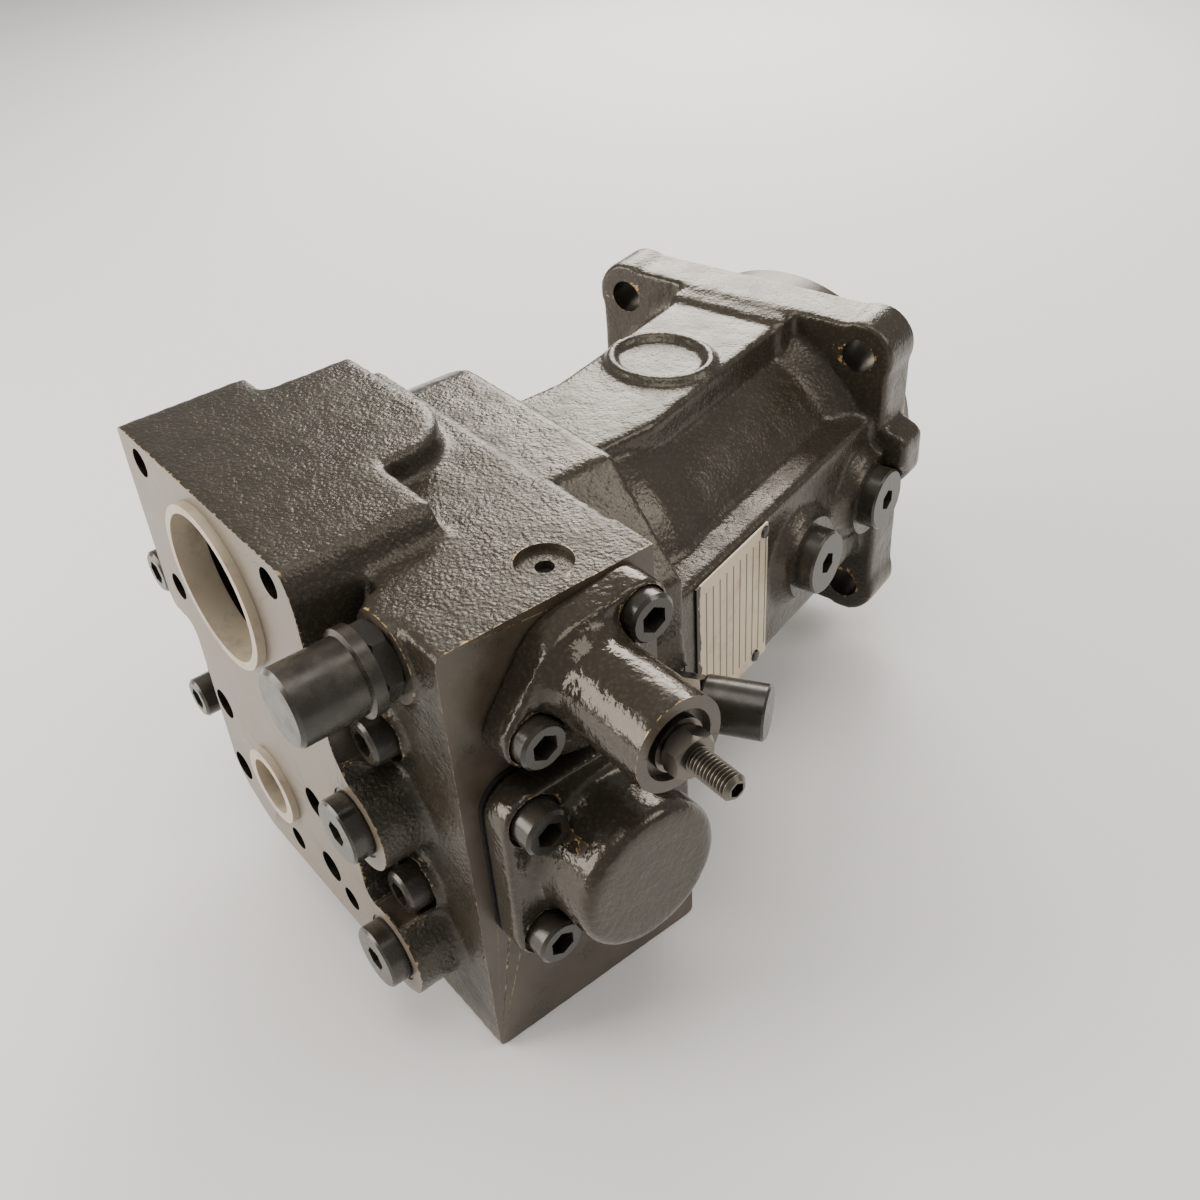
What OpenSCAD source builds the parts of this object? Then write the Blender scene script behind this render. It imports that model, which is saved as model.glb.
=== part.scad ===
// Bent-axis axial piston pump with a control block, four-bolt flange and two rear flange ports.
// The origin is the centre of the mounting face on the shaft axis. +Y runs to the shaft end, +Z is up.

/* [Mounting flange] */
// Side of the square flange
flange_w = 139; // [128:1:160]
// Thickness of the flange
flange_t = 20.5; // [14:0.5:28]
// Radius of the lobe round each bolt hole
lobe_r = 14.5; // [13:0.5:18]
// Diameter of the centring spigot
pilot_d = 125; // [110:1:128]
// Length of the centring spigot
pilot_len = 25; // [10:1:30]
// Diameter of the circle of bolt holes
bolt_circle = 160; // [150:1:168]
// Diameter of each bolt hole
bolt_hole_d = 14; // [9:0.5:18]

/* [Housing] */
// Distance from the mounting face back to the swivel pivot
pivot_back = 114; // [108:1:124]
// Angle of the rear block about the pivot
block_turn = 15; // [12:0.5:16]
// Outer diameter of the front barrel
barrel_d = 118; // [114:1:124]
// How far the rear barrel stands out past the front barrel
swell_step = 6; // [4.5:0.5:9]
// Width of the flat pad on top of the barrel
pad_w = 50; // [36:1:60]
// Height of the flat pad over the front barrel
pad_up = 7; // [6.5:0.5:11]
// Distance from the front barrel out to the flat side with the name plate
side_out = 5; // [4:0.5:9]
// Height of the ledge over the shaft axis
side_top = 31; // [26:0.5:36]
// Depth of the ledge under the shaft axis
side_low = 37; // [30:0.5:42]
// Radius of the round side of the flange that meets the rear block
slab_r = 88; // [86:0.5:92]
// Distance from the centre plane to the straight side of that flange
slab_side = 84; // [82.5:0.5:88]
// Height of the flats on that flange over the axis
slab_z = 82.3; // [76:0.5:85]
// Thickness of that flange
slab_t = 28.5; // [24:0.5:32]

/* [Rear block] */
// Distance from the pivot back to the joint face
joint_back = 65.3; // [64:0.1:67]
// Distance from the pivot back to the rear face of the control part
block_back = 141.4; // [138:0.5:146]
// Distance from the pivot back to the port face
port_back = 158.4; // [155:0.5:164]
// Distance from the centre plane to the cover face
block_right = 103.7; // [98:0.5:108]
// Distance from the centre plane to the left side of the suction flange
block_left = 59; // [58:0.5:64]
// Height of the control part over the axis
block_top = 87.3; // [85:0.5:92]
// Depth of the control part under the axis
block_low = 87.8; // [84:0.5:96]
// Extra height of the suction part
raise = 9.9; // [6:0.5:14]

/* [Ports] */
// Height of the suction port over the axis
suction_z = 63.2; // [62:0.2:64.4]
// Bore of the suction port
suction_d = 57; // [54:1:62]
// Bolt spacing of the suction flange across
suction_bolt_x = 88.9; // [86:0.1:90]
// Bolt spacing of the suction flange up and down
suction_bolt_z = 50.8; // [48:0.1:52]
// Depth of the pressure port under the axis
pressure_z = 26.2; // [24:0.2:28]
// Bore of the pressure port
pressure_d = 30; // [25:1:32]
// Bolt spacing of the pressure flange across
pressure_bolt_x = 66.7; // [60:0.1:68]
// Bolt spacing of the pressure flange up and down
pressure_bolt_z = 31.8; // [30:0.1:33]

/* [Rotating group] */
// Diameter of the spline
spline_d = 30; // [28:1:34]
// Number of spline teeth
spline_teeth = 14; // [12:1:18]
// Length of the spline past the spigot
spline_len = 27; // [20:1:40]
// Number of pistons
pistons_n = 7; // [5:2:9]
// Radius of the circle of piston balls
ball_circle_r = 31; // [30:0.25:32]
// Diameter of each piston
piston_d = 20; // [18:0.5:20.5]
// Rollers in each bearing
rollers_n = 18; // [14:1:20]

/* [Covers] */
// Distance from the pivot back to the axes of both covers
cover_back = 100.3; // [98:0.1:103]
// Height of the upper cover over the shaft axis
cover_z = 65.3; // [65:0.1:66]
// Reach of the upper cover's boss from the block
boss_len = 50; // [44:1:60]
// Reach of the lower cover's dome from the block
dome_len = 37; // [32:0.5:44]
// Outer diameter of the dome
dome_d = 51.5; // [46:0.5:54]
// Side of the square lower cover
lower_w = 71; // [70:0.5:72]
// Turns of the control spring
spring_turns = 6; // [4:1:8]

/* [Caps] */
// Diameter of the rear plastic cap
rear_cap_d = 24.5; // [24:0.5:28]
// Diameter of the side plastic cap
side_cap_d = 20; // [18:0.5:24]

/* [Hidden] */
$fn = 64;
fit = 0.05;
cast_paint = [0.33, 0.31, 0.27];
steel = [0.62, 0.61, 0.58];
dark_steel = [0.30, 0.29, 0.27];
black_plastic = [0.09, 0.09, 0.08];
cream_plastic = [0.86, 0.83, 0.72];
rubber = [0.07, 0.07, 0.07];
label_paint = [0.84, 0.82, 0.78];
hole_off = bolt_circle / 2 * cos(45);
swell_d = barrel_d + 2 * swell_step;
pad_z = barrel_d / 2 + pad_up;
side_x = barrel_d / 2 + side_out;
// The flange's 45-degree corners, as the sum of both distances from the axis
slab_corner = slab_side + slab_z - 33.5;
ball_r = 11;
cyl_r = ball_circle_r + piston_d / 2 + 3;
cyl_front = 24;
cyl_back = 66;
lens_back = 80;
lens_half = 34;
lens_z = 45.5;
swing_r = lens_back + 0.1;
room_r = cyl_r + 8;
room_x = 57;
stroke_r = 17;
valve_r = 9;
shaft_r = 19;
pin_ball_r = 9;
screw_reach = 72;
sleeve_d = suction_d + 0.8;
front_cup_r = 43;
rear_cup_r = 46;
roller_len = 16;
roller_r = 4;
roller_half = 2;
taper = 14;
front_mean = front_cup_r - 8.5;
rear_mean = rear_cup_r - 8.2;
front_y = -13.4;
rear_y = -62.6;
front_shoulder = race(front_mean, front_y, 1, 1, -roller_len / 2 - 2)[1] - 2;
front_lip = race(front_mean, front_y, 1, 1, roller_len / 2 + 2)[1];
rear_shoulder = race(rear_mean, rear_y, -1, 1, -roller_len / 2 - 2)[1] + 2;
front_step = race(front_mean, front_y, 1, -1, -roller_len / 2 - 0.3)[1] - 3;
rear_end = race(rear_mean, rear_y, -1, -1, roller_len / 2 + 0.3)[1] - 4;
top_z = block_top + raise;
pad_low = 62.5;
suction_right = 56.5;
joint_spots = [[68, 37.5], [72.5, -26.5], [-68, 31], [-68, -31]];
screw_face = [151.4, 152.4, 158.4, 158.4];
stop_x = 77;
stop_z = 72.5;
side_stop = [88, -39.5];
side_turn = 33;
lower_pitch = 49.5;
upper_dx = 20.4;
upper_dz = 11.55;
gauge_a = [65.6, 6.4];
gauge_b = [71.7, -49.6];
drain_y = [-79.9, -28.3];
drain_seat = side_x + 7;
plug_d = 22.5;
land_d = 34.6;
seat_sink = 0.5;
top_plug_sink = 2;
side_nut = [-6.4, 5.6];
plate_y = [-pivot_back - 39, -pivot_back + 10];
small_holes = [[6.5, -50], [45, -49]];
rivet_spots = [[plate_y[1] - 2.5, side_top - 5], [plate_y[1] - 8, -side_low + 7]];
plate_t = 12;

// Moves a piece from the block's own frame, with its centre at the pivot, to the part's frame
module in_block() {
    translate([0, -pivot_back, 0])
        rotate([0, 0, -block_turn])
            children();
}

// Extrudes an outline drawn in X and Z from y_front towards the rear
module slab_y(y_front, t) {
    translate([0, y_front, 0])
        rotate([90, 0, 0])
            linear_extrude(t)
                children();
}

module rod_y(x, z, y0, y1, d) {
    translate([x, y0, z])
        rotate([-90, 0, 0])
            cylinder(d = d, h = y1 - y0);
}

module rod_x(y, z, x0, x1, d) {
    translate([x0, y, z])
        rotate([0, 90, 0])
            cylinder(d = d, h = x1 - x0);
}

// A profile of [radius, height] points turned round the Y axis
module turned_y(points) {
    rotate([-90, 0, 0])
        rotate_extrude()
            polygon(points);
}

module block(x0, x1, y0, y1, z0, z1) {
    translate([x0, y0, z0])
        cube([x1 - x0, y1 - y0, z1 - z0]);
}

module rounded_rect(w, h, r) {
    square([w - 2 * r, h], center = true);
    square([w, h - 2 * r], center = true);
    for (sx = [-1, 1])
        for (sy = [-1, 1])
            translate([sx * (w / 2 - r), sy * (h / 2 - r)])
                circle(r);
}

module four_corners(dx, dz) {
    for (sx = [-1, 1])
        for (sz = [-1, 1])
            translate([sx * dx, 0, sz * dz])
                children();
}

// Socket head cap screw along +Z with its seat at z = 0
module cap_screw(d, head_d, head_h, len, hex) {
    difference() {
        union() {
            translate([0, 0, -len])
                cylinder(d = d, h = len + 1);
            cylinder(d = head_d, h = head_h - 1);
            translate([0, 0, head_h - 1])
                cylinder(d1 = head_d, d2 = head_d - 2, h = 1);
        }
        translate([0, 0, head_h * 0.4])
            cylinder(d = hex / cos(30), h = head_h, $fn = 6);
    }
}

// Disc-headed plug along +Z with a hexagon socket
module disc_plug(d, head_d, head_h, len, hex) {
    difference() {
        union() {
            translate([0, 0, -len])
                cylinder(d = d, h = len + 1);
            cylinder(d = head_d, h = head_h - 0.8);
            translate([0, 0, head_h - 0.8])
                cylinder(d1 = head_d, d2 = head_d - 1.6, h = 0.8);
        }
        translate([0, 0, -2])
            cylinder(d = hex / cos(30), h = head_h + 4, $fn = 6);
    }
}

// Threaded rod along +Z, with grooves between z0 and z1
module grooved_rod(d, z0, z1, start, pitch) {
    turns = floor((z1 - z0 - 1) / pitch);
    depth = 0.9;
    r = d / 2;
    grooves = [for (i = [0:turns - 1]) each [
        [r, z0 + i * pitch + 0.1],
        [r - depth, z0 + (i + 0.45) * pitch],
        [r - depth, z0 + (i + 0.6) * pitch],
        [r, z0 + (i + 0.95) * pitch]
    ]];
    rotate_extrude()
        polygon(concat([[0, start], [r, start]], grooves, [[r, z1 - 1.2], [r - 1.2, z1], [0, z1]]));
}

module hex_nut(af, h, bore) {
    difference() {
        intersection() {
            cylinder(d = af / cos(30), h = h, $fn = 6);
            union() {
                cylinder(d1 = af - 0.4, d2 = af * 2 / sqrt(3) + 0.6, h = 1.6);
                translate([0, 0, 1.6])
                    cylinder(d = af * 2 / sqrt(3) + 0.6, h = h - 3.2);
                translate([0, 0, h - 1.6])
                    cylinder(d1 = af * 2 / sqrt(3) + 0.6, d2 = af - 0.4, h = 1.6);
            }
        }
        translate([0, 0, -1])
            cylinder(d = bore, h = h + 2);
    }
}

module on_upper_axis() {
    in_block()
        translate([block_right, -cover_back, cover_z])
            rotate([0, 90, 0])
                children();
}

module on_lower_axis() {
    in_block()
        translate([block_right, -cover_back, 0])
            rotate([0, 90, 0])
                children();
}

module on_rear_stop() {
    in_block()
        translate([stop_x, -block_back, stop_z])
            rotate([90, 0, 0])
                children();
}

module on_side_stop() {
    in_block()
        translate([side_stop[0], side_stop[1], 0])
            rotate([0, 0, side_turn])
                rotate([0, 90, 0])
                    children();
}

module flange_outline() {
    rounded_rect(flange_w, flange_w, 15);
}

// Outline of the joint flange in X and Z: round to the left, straight to the right
module slab_outline() {
    intersection() {
        union() {
            circle(slab_r);
            translate([0, -slab_z])
                square([slab_side, 2 * slab_z]);
        }
        square([2 * slab_r + 20, 2 * slab_z], center = true);
        polygon([[slab_corner, 0], [0, slab_corner], [-slab_corner, 0], [0, -slab_corner]]);
    }
}

module cast_side() {
    // Ledge with the flat for the name plate
    difference() {
        slab_y(-flange_t + 1, 160)
            polygon([
                [0, side_top], [side_x - 1.5, side_top], [side_x, side_top - 1.5],
                [side_x, -side_low + 4], [side_x - 4, -side_low], [0, -side_low - 8]
            ]);
        in_block()
            block(-200, 200, -200, -joint_back + 1, -120, 120);
    }
    for (y = drain_y) {
        rod_x(y, 0, side_x - 20, drain_seat, 34);
        rod_x(y, 0, side_x - 4, side_x + 3, 40);
    }
    // Web between the two drain bosses
    translate([0, 0, -7])
        linear_extrude(15)
            polygon([
                [side_x - 6, drain_y[0]], [side_x + 5.5, drain_y[0] + 8], [side_x + 1.5, drain_y[0] + 25],
                [side_x + 5.5, drain_y[1] - 8], [side_x - 6, drain_y[1]]
            ]);
    // Lug where the front boss runs into the flange edge
    slab_y(-4, flange_t - 4)
        polygon([
            [50, 27], [side_x + 9, 26.5], [side_x + 14.5, 24], [side_x + 16.5, 20.5], [side_x + 16.5, 6],
            [side_x + 13, 1], [62, -14]
        ]);
}

// Step where the pad climbs to the edge of the mounting flange
module pad_riser() {
    translate([-pad_w / 2 - 2, 0, 0])
        rotate([90, 0, 90])
            linear_extrude(pad_w + 4)
                polygon([
                    [1 - flange_t, 30], [1 - flange_t, flange_w / 2 - 0.6], [-flange_t - 3, flange_w / 2 - 1.2],
                    [-flange_t - 8.5, pad_z + 1.6], [-flange_t - 10.5, pad_z - 0.5], [-flange_t - 10.5, 30]
                ]);
}

module oval_ring(w, h, wall, t) {
    steps = 72;
    outer = [for (i = [0:steps - 1]) [w / 2 * cos(i * 360 / steps), h / 2 * sin(i * 360 / steps)]];
    inner = [for (p = outer) [p[0] * (w - 2 * wall) / w, p[1] * (h - 2 * wall) / h]];
    linear_extrude(t)
        difference() {
            polygon(outer);
            polygon(inner);
        }
}

module rear_swell() {
    in_block() {
        rod_y(0, 0, -joint_back + 2, -12, swell_d);
        translate([0, -12.2, 0])
            rotate([-90, 0, 0])
                cylinder(d1 = swell_d, d2 = barrel_d - 2, h = 22);
        block(-pad_w / 2, pad_w / 2, -joint_back + 2, 4, 20, pad_z);
        slab_y(-joint_back + slab_t, slab_t)
            slab_outline();
    }
    intersection() {
        on_side_stop()
            cylinder_at(-30, side_nut[0], 14);
        in_block()
            block(0, 140, -joint_back + 1, 10, -40, 40);
    }
}

module housing() {
    color(cast_paint)
        difference() {
            union() {
                slab_y(0, flange_t)
                    flange_outline();
                four_corners(hole_off, hole_off)
                    rod_y(0, 0, -flange_t + 6, 0, 2 * lobe_r);
                rod_y(0, 0, -1, pilot_len - 1.5, pilot_d);
                translate([0, pilot_len - 1.5, 0])
                    rotate([-90, 0, 0])
                        cylinder(d1 = pilot_d, d2 = pilot_d - 3, h = 1.5);
                rod_y(0, 0, -pivot_back - 6, -flange_t + 1, barrel_d);
                // Cast fillet behind the flange
                translate([0, -flange_t - 13, 0])
                    rotate([-90, 0, 0])
                        cylinder(d1 = barrel_d - 1, d2 = barrel_d + 15, h = 13.5);
                block(-pad_w / 2, pad_w / 2, -pivot_back - 4, -flange_t + 1, 20, pad_z);
                pad_riser();
                translate([0, -77, pad_z - 1])
                    oval_ring(43, 38, 3, 2);
                cast_side();
                rear_swell();
            }
            four_corners(hole_off, hole_off)
                rod_y(0, 0, -flange_t - 30, 1, bolt_hole_d);
            four_corners(hole_off, hole_off)
                rod_y(0, 0, -flange_t - 30, -flange_t, 26);
            // Rooms for the seal, the bearings and the rotating group
            rod_y(0, 0, front_shoulder, pilot_len + 1, 2 * front_cup_r);
            rod_y(0, 0, pilot_len - 5.5, pilot_len - 3, 2 * front_cup_r + 6);
            rod_y(0, 0, rear_shoulder - 1, front_shoulder + 1, 2 * front_cup_r - 14);
            rod_y(0, 0, -82, rear_shoulder, 2 * rear_cup_r);
            rod_y(0, 0, -pivot_back - 20, -81, 2 * room_r);
            rod_y(0, 0, -pivot_back - 72, -pivot_back - 19, 2 * cyl_r + 7);
            in_block() {
                rotate([0, 0, -13])
                    rod_y(0, 0, -80, -5, 2 * cyl_r + 6);
                block(-room_x, room_x, -joint_back - 1, -38, -lens_z - 2.5, lens_z + 2.5);
                for (p = joint_spots)
                    rod_y(p[0], p[1], -joint_back - 1, -joint_back + 22, 10.4);
            }
            on_side_stop() {
                translate([0, 0, -50])
                    cylinder(d = 10.4, h = 51);
                cylinder_at(side_nut[0], 30, 13);
            }
            for (y = drain_y) {
                rod_x(y, 0, side_x - 9, drain_seat + 2, 18.4);
                rod_x(y, 0, drain_seat, drain_seat + 14, 27);
            }
            for (s = rivet_spots)
                rod_x(s[0], s[1], side_x - 8, side_x + 1, 3.1);
        }
}

// Outline of the port face in X and Z
module port_outline() {
    polygon([
        [-block_left, top_z], [-block_left, 28], [-block_left + 3, 26.5], [-41, 26.5], [-41, -43],
        [-36, -52], [-25, -pad_low + 3], [-18, -pad_low], [86, -pad_low], [77, -52], [66, -36],
        [60, -30], [60, 20], [66, 24], [suction_right + 4, 34], [suction_right + 2, top_z - 22],
        [suction_right + 1.5, block_top], [suction_right - 1.5, top_z - 2.5], [suction_right - 4, top_z]
    ]);
}

// Plan of the raised top of the suction duct
module raised_plan() {
    polygon([
        [-block_left, -port_back], [-block_left, -111.3], [-46, -111.3], [-46, -77], [0, -76],
        [0, -107], [suction_right + 2, -107], [suction_right + 2, -port_back]
    ]);
    translate([0, -100])
        circle(25);
}

module port_block_body() {
    // Control part with the two cover faces
    block(54, block_right, -block_back, -joint_back, -block_low, block_top);
    block(68, block_right, -joint_back - 1, -53, -block_low, -69);
    // Port part, drawn from the port face forwards
    slab_y(-joint_back - 12, port_back - joint_back - 12)
        intersection() {
            port_outline();
            translate([-80, -100])
                square([200, block_top + 99.4]);
        }
    intersection() {
        translate([0, 0, 20])
            linear_extrude(top_z - 20)
                raised_plan();
        slab_y(-70, 100)
            polygon([
                [-block_left, 0], [-block_left, top_z], [suction_right - 4, top_z],
                [suction_right - 1.5, top_z - 2.5], [suction_right + 1.5, block_top], [suction_right + 1.5, 0]
            ]);
    }
    block(-48, 60, -118, -joint_back, -60, block_top - 0.6);
    // Round flange against the housing
    slab_y(-joint_back, 20)
        slab_outline();
    // Ears of the two left joint screws
    for (i = [2, 3]) {
        rod_y(joint_spots[i][0], joint_spots[i][1], -screw_face[i] + 10, -joint_back - 5, 22);
        block(-68, -40, -screw_face[i] + 10, -joint_back - 5, joint_spots[i][1] - 9, joint_spots[i][1] + 9);
    }
    rod_y(joint_spots[1][0], joint_spots[1][1], -screw_face[1] + 10, -block_back + 5, 22);
    for (g = [gauge_a, gauge_b])
        rod_y(g[0], g[1], -port_back, -block_back + 5, land_d);
    rod_y(stop_x, stop_z, -block_back - 1.5, -block_back + 6, 29);
}

module port_block() {
    color(cast_paint)
        in_block()
            difference() {
                port_block_body();
                // Notch between the suction flange and the control part
                block(suction_right + 2, suction_right + 9.5, -port_back - 1, -block_back + 6, 54, top_z + 1);
                // Round track of the control lens
                intersection() {
                    translate([0, 0, -lens_z - 0.5])
                        cylinder(r = swing_r, h = 2 * lens_z + 1);
                    block(-room_x, room_x, -90, -joint_back + 1, -60, 60);
                }
                // Suction duct
                rod_y(0, suction_z, -port_back - 1, -118, suction_d);
                rod_y(0, suction_z, -port_back - 1, -port_back + 8, sleeve_d + 0.1);
                for (x = [-14, 4, 22])
                    translate([x, -126, 50.5])
                        rotate([-113.5, 0, 0])
                            cylinder(r = 12, h = 54);
                // Pressure duct
                rod_y(0, -pressure_z, -port_back - 1, -port_back + 10, pressure_d);
                rod_y(0, -pressure_z, -port_back - 1, -128, pressure_d - 5);
                rod_y(0, -31, -130, -76, 19);
                translate([0, 0, suction_z])
                    four_corners(suction_bolt_x / 2, suction_bolt_z / 2)
                        rod_y(0, 0, -port_back - 1, -port_back + 24, 10.2);
                translate([0, 0, -pressure_z])
                    four_corners(pressure_bolt_x / 2, pressure_bolt_z / 2)
                        rod_y(0, 0, -port_back - 1, -port_back + 24, 12);
                for (p = small_holes)
                    rod_y(p[0], p[1], -port_back - 1, -port_back + 14, 9);
                // Bores of the joint screws
                for (i = [0:3]) {
                    rod_y(joint_spots[i][0], joint_spots[i][1], -port_back - 2, -joint_back + 1, 11);
                    if (i < 2)
                        rod_y(joint_spots[i][0], joint_spots[i][1], -port_back - 2, -screw_face[i] + 10, 19);
                }
                for (g = [gauge_a, gauge_b]) {
                    rod_y(g[0], g[1], -port_back - 1, -port_back + 15, 14.4);
                    rod_y(g[0], g[1], -port_back - 1, -port_back + seat_sink, plug_d + 2.5);
                }
                // Stroking piston bore, slot of the positioning pin and pilot valve bore
                rod_x(-cover_back, 0, -42, block_right + 1, 2 * stroke_r);
                block(-31, 37, -cover_back, -joint_back + 1, -8.4, 8.4);
                rod_x(-cover_back, cover_z, 42, block_right + 1, 2 * valve_r);
                for (sy = [-1, 1])
                    for (sz = [-1, 1])
                        rod_x(-cover_back + sy * lower_pitch / 2, sz * lower_pitch / 2,
                              block_right - 20, block_right + 1, 10.4);
                for (s = [-1, 1])
                    rod_x(-cover_back + s * upper_dx, cover_z + s * upper_dz,
                          block_right - 20, block_right + 1, 10.4);
                translate([88.8, -93.6, block_top - 11]) {
                    cylinder(d = 14.4, h = 12);
                    translate([0, 0, 6.5])
                        cylinder(d = 18, h = 6);
                }
                rod_y(stop_x, stop_z, -block_back - 3, -block_back + 26, 10.4);
            }
}

module joint_screws() {
    color(dark_steel)
        in_block()
            for (i = [0:3])
                translate([joint_spots[i][0], -screw_face[i] + 10, joint_spots[i][1]])
                    rotate([90, 0, 0])
                        cap_screw(10, 16, 10, screw_face[i] - joint_back + 10, 8);
}

// Point of the race on one side of a taper roller, at the distance t along the roller
function race(mean, y, way, side, t) = [
    mean + t * sin(taper) + side * (roller_r + t * tan(roller_half)) * cos(taper),
    y + way * (t * cos(taper) - side * (roller_r + t * tan(roller_half)) * sin(taper))
];

module bearing_cup(bore_r, mean, y, way) {
    a = race(mean, y, way, 1, -roller_len / 2 - 2);
    b = race(mean, y, way, 1, roller_len / 2 + 2);
    turned_y([
        [bore_r, b[1]], [b[0], b[1]], [a[0], a[1]], [a[0], a[1] - way * 2], [bore_r, a[1] - way * 2]
    ]);
}

module bearing_cone(bore_r, mean, y, way) {
    a = race(mean, y, way, -1, -roller_len / 2 - 0.3);
    b = race(mean, y, way, -1, roller_len / 2 + 0.3);
    turned_y([
        [bore_r, a[1] - way * 3], [a[0] + 1.2, a[1] - way * 3], [a[0] + 1.2, a[1]], [a[0], a[1]],
        [b[0], b[1]], [b[0] + 2.4, b[1] + way * 0.6], [b[0] + 2.4, b[1] + way * 4], [bore_r, b[1] + way * 4]
    ]);
}

module taper_roller(extra) {
    cylinder(
        r1 = roller_r + extra - (roller_len / 2 + extra) * tan(roller_half),
        r2 = roller_r + extra + (roller_len / 2 + extra) * tan(roller_half),
        h = roller_len + 2 * extra, center = true
    );
}

module rollers_at(mean, y, way, extra) {
    for (i = [0:rollers_n - 1])
        rotate([0, i * 360 / rollers_n, 0])
            translate([mean, y, 0])
                rotate([0, 0, -way * taper + (way > 0 ? 0 : 180)])
                    rotate([-90, 0, 0])
                        taper_roller(extra);
}

module cage(mean, y, way) {
    half = roller_len / 2 + 3;
    difference() {
        turned_y([
            [mean - half * sin(taper) - 0.9, y - way * half * cos(taper)],
            [mean - half * sin(taper) + 0.9, y - way * half * cos(taper)],
            [mean + half * sin(taper) + 0.9, y + way * half * cos(taper)],
            [mean + half * sin(taper) - 0.9, y + way * half * cos(taper)]
        ]);
        rollers_at(mean, y, way, 0.08);
    }
}

module bearing_cups() {
    color(steel) {
        bearing_cup(front_cup_r, front_mean, front_y, 1);
        bearing_cup(rear_cup_r, rear_mean, rear_y, -1);
    }
}

module bearing_cones() {
    color(steel) {
        bearing_cone(22.5, front_mean, front_y, 1);
        bearing_cone(28, rear_mean, rear_y, -1);
    }
}

module front_rollers() {
    color(steel) {
        rollers_at(front_mean, front_y, 1, -0.03);
        cage(front_mean, front_y, 1);
    }
}

module rear_rollers() {
    color(steel) {
        rollers_at(rear_mean, rear_y, -1, -0.03);
        cage(rear_mean, rear_y, -1);
    }
}

module spline_outline() {
    step = 360 / spline_teeth;
    tip = spline_d / 2;
    root = tip - 2.2;
    polygon([for (i = [0:spline_teeth - 1]) each [
        [root * cos((i - 0.28) * step), root * sin((i - 0.28) * step)],
        [tip * cos((i - 0.16) * step), tip * sin((i - 0.16) * step)],
        [tip * cos((i + 0.16) * step), tip * sin((i + 0.16) * step)],
        [root * cos((i + 0.28) * step), root * sin((i + 0.28) * step)]
    ]]);
}

// Places a piece at each piston, with local +Z towards the rear
module at_pistons() {
    for (i = [0:pistons_n - 1])
        rotate([0, 90 + i * 360 / pistons_n, 0])
            translate([ball_circle_r, -pivot_back, 0])
                rotate([90, 0, 0])
                    children();
}

module drive_shaft() {
    end = pilot_len + spline_len;
    color(steel)
        difference() {
            union() {
                turned_y([
                    [0, -pivot_back], [43.5, -pivot_back], [43.5, -98], [37, -88], [33, rear_end],
                    [28, rear_end], [28, rear_shoulder], [25, rear_shoulder], [25, front_step], [22.5, front_step],
                    [22.5, 2], [shaft_r, 2], [shaft_r, pilot_len + 1], [12.6, pilot_len + 3],
                    [12.6, end - 2], [11, end], [0, end]
                ]);
                intersection() {
                    slab_y(end - 0.5, spline_len - 4)
                        spline_outline();
                    turned_y([
                        [0, pilot_len + 3], [12, pilot_len + 3], [spline_d / 2 + 1, pilot_len + 7],
                        [spline_d / 2 + 1, end - 3.5], [spline_d / 2 - 2.5, end - 0.5], [0, end - 0.5]
                    ]);
                }
            }
            at_pistons()
                sphere(r = ball_r + 0.05);
            translate([0, -pivot_back, 0])
                sphere(r = pin_ball_r + 0.05);
            rod_y(0, 0, end - 18, end + 1, 8.5);
            for (i = [0:pistons_n - 1])
                rotate([0, 90 + (i + 0.5) * 360 / pistons_n, 0])
                    translate([39.5, -pivot_back, 0])
                        rod_y(0, 0, -1, 10, 4.3);
        }
}

module seal_carrier() {
    color(dark_steel)
        turned_y([
            [front_cup_r - fit, front_lip], [front_cup_r - fit, pilot_len - 5.6], [31, pilot_len - 5.6],
            [31, 9], [25, 9], [25, 5], [39.5, 5], [39.5, front_lip]
        ]);
}

module shaft_seal() {
    color(rubber)
        turned_y([
            [31, 9.1], [31, 18.5], [28.5, 18.5], [28.5, 12], [21.5, 12], [21, 17], [shaft_r + 0.05, 14.6],
            [shaft_r + 0.05, 14], [20.5, 9.1]
        ]);
}

module retaining_ring() {
    color(dark_steel)
        difference() {
            turned_y([
                [front_cup_r - 4, pilot_len - 5.4], [front_cup_r + 2.8, pilot_len - 5.4],
                [front_cup_r + 2.8, pilot_len - 3.1], [front_cup_r - 4, pilot_len - 3.1]
            ]);
            block(-5, 5, 0, 40, -60, -20);
            for (s = [-1, 1])
                rod_y(s * 9, -front_cup_r + 1, 15, 25, 2.5);
        }
}

module retaining_plate() {
    color(steel)
        difference() {
            rod_y(0, 0, -pivot_back - 4.2, -pivot_back - 0.1, 87);
            at_pistons() {
                sphere(r = ball_r + 0.05);
                cylinder(r = 10.1, h = 8);
            }
            translate([0, -pivot_back, 0])
                sphere(r = pin_ball_r + 0.05);
            rod_y(0, 0, -pivot_back - 6, -pivot_back, 16);
            for (i = [0:pistons_n - 1])
                rotate([0, 90 + (i + 0.5) * 360 / pistons_n, 0])
                    translate([39.5, -pivot_back, 0])
                        rod_y(0, 0, -6, 1, 5.2);
        }
}

module retaining_screws() {
    color(dark_steel)
        for (i = [0:pistons_n - 1])
            rotate([0, 90 + (i + 0.5) * 360 / pistons_n, 0])
                translate([39.5, -pivot_back - 4.2, 0])
                    rotate([90, 0, 0])
                        cap_screw(4.2, 7, 3.4, 12, 3);
}

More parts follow.
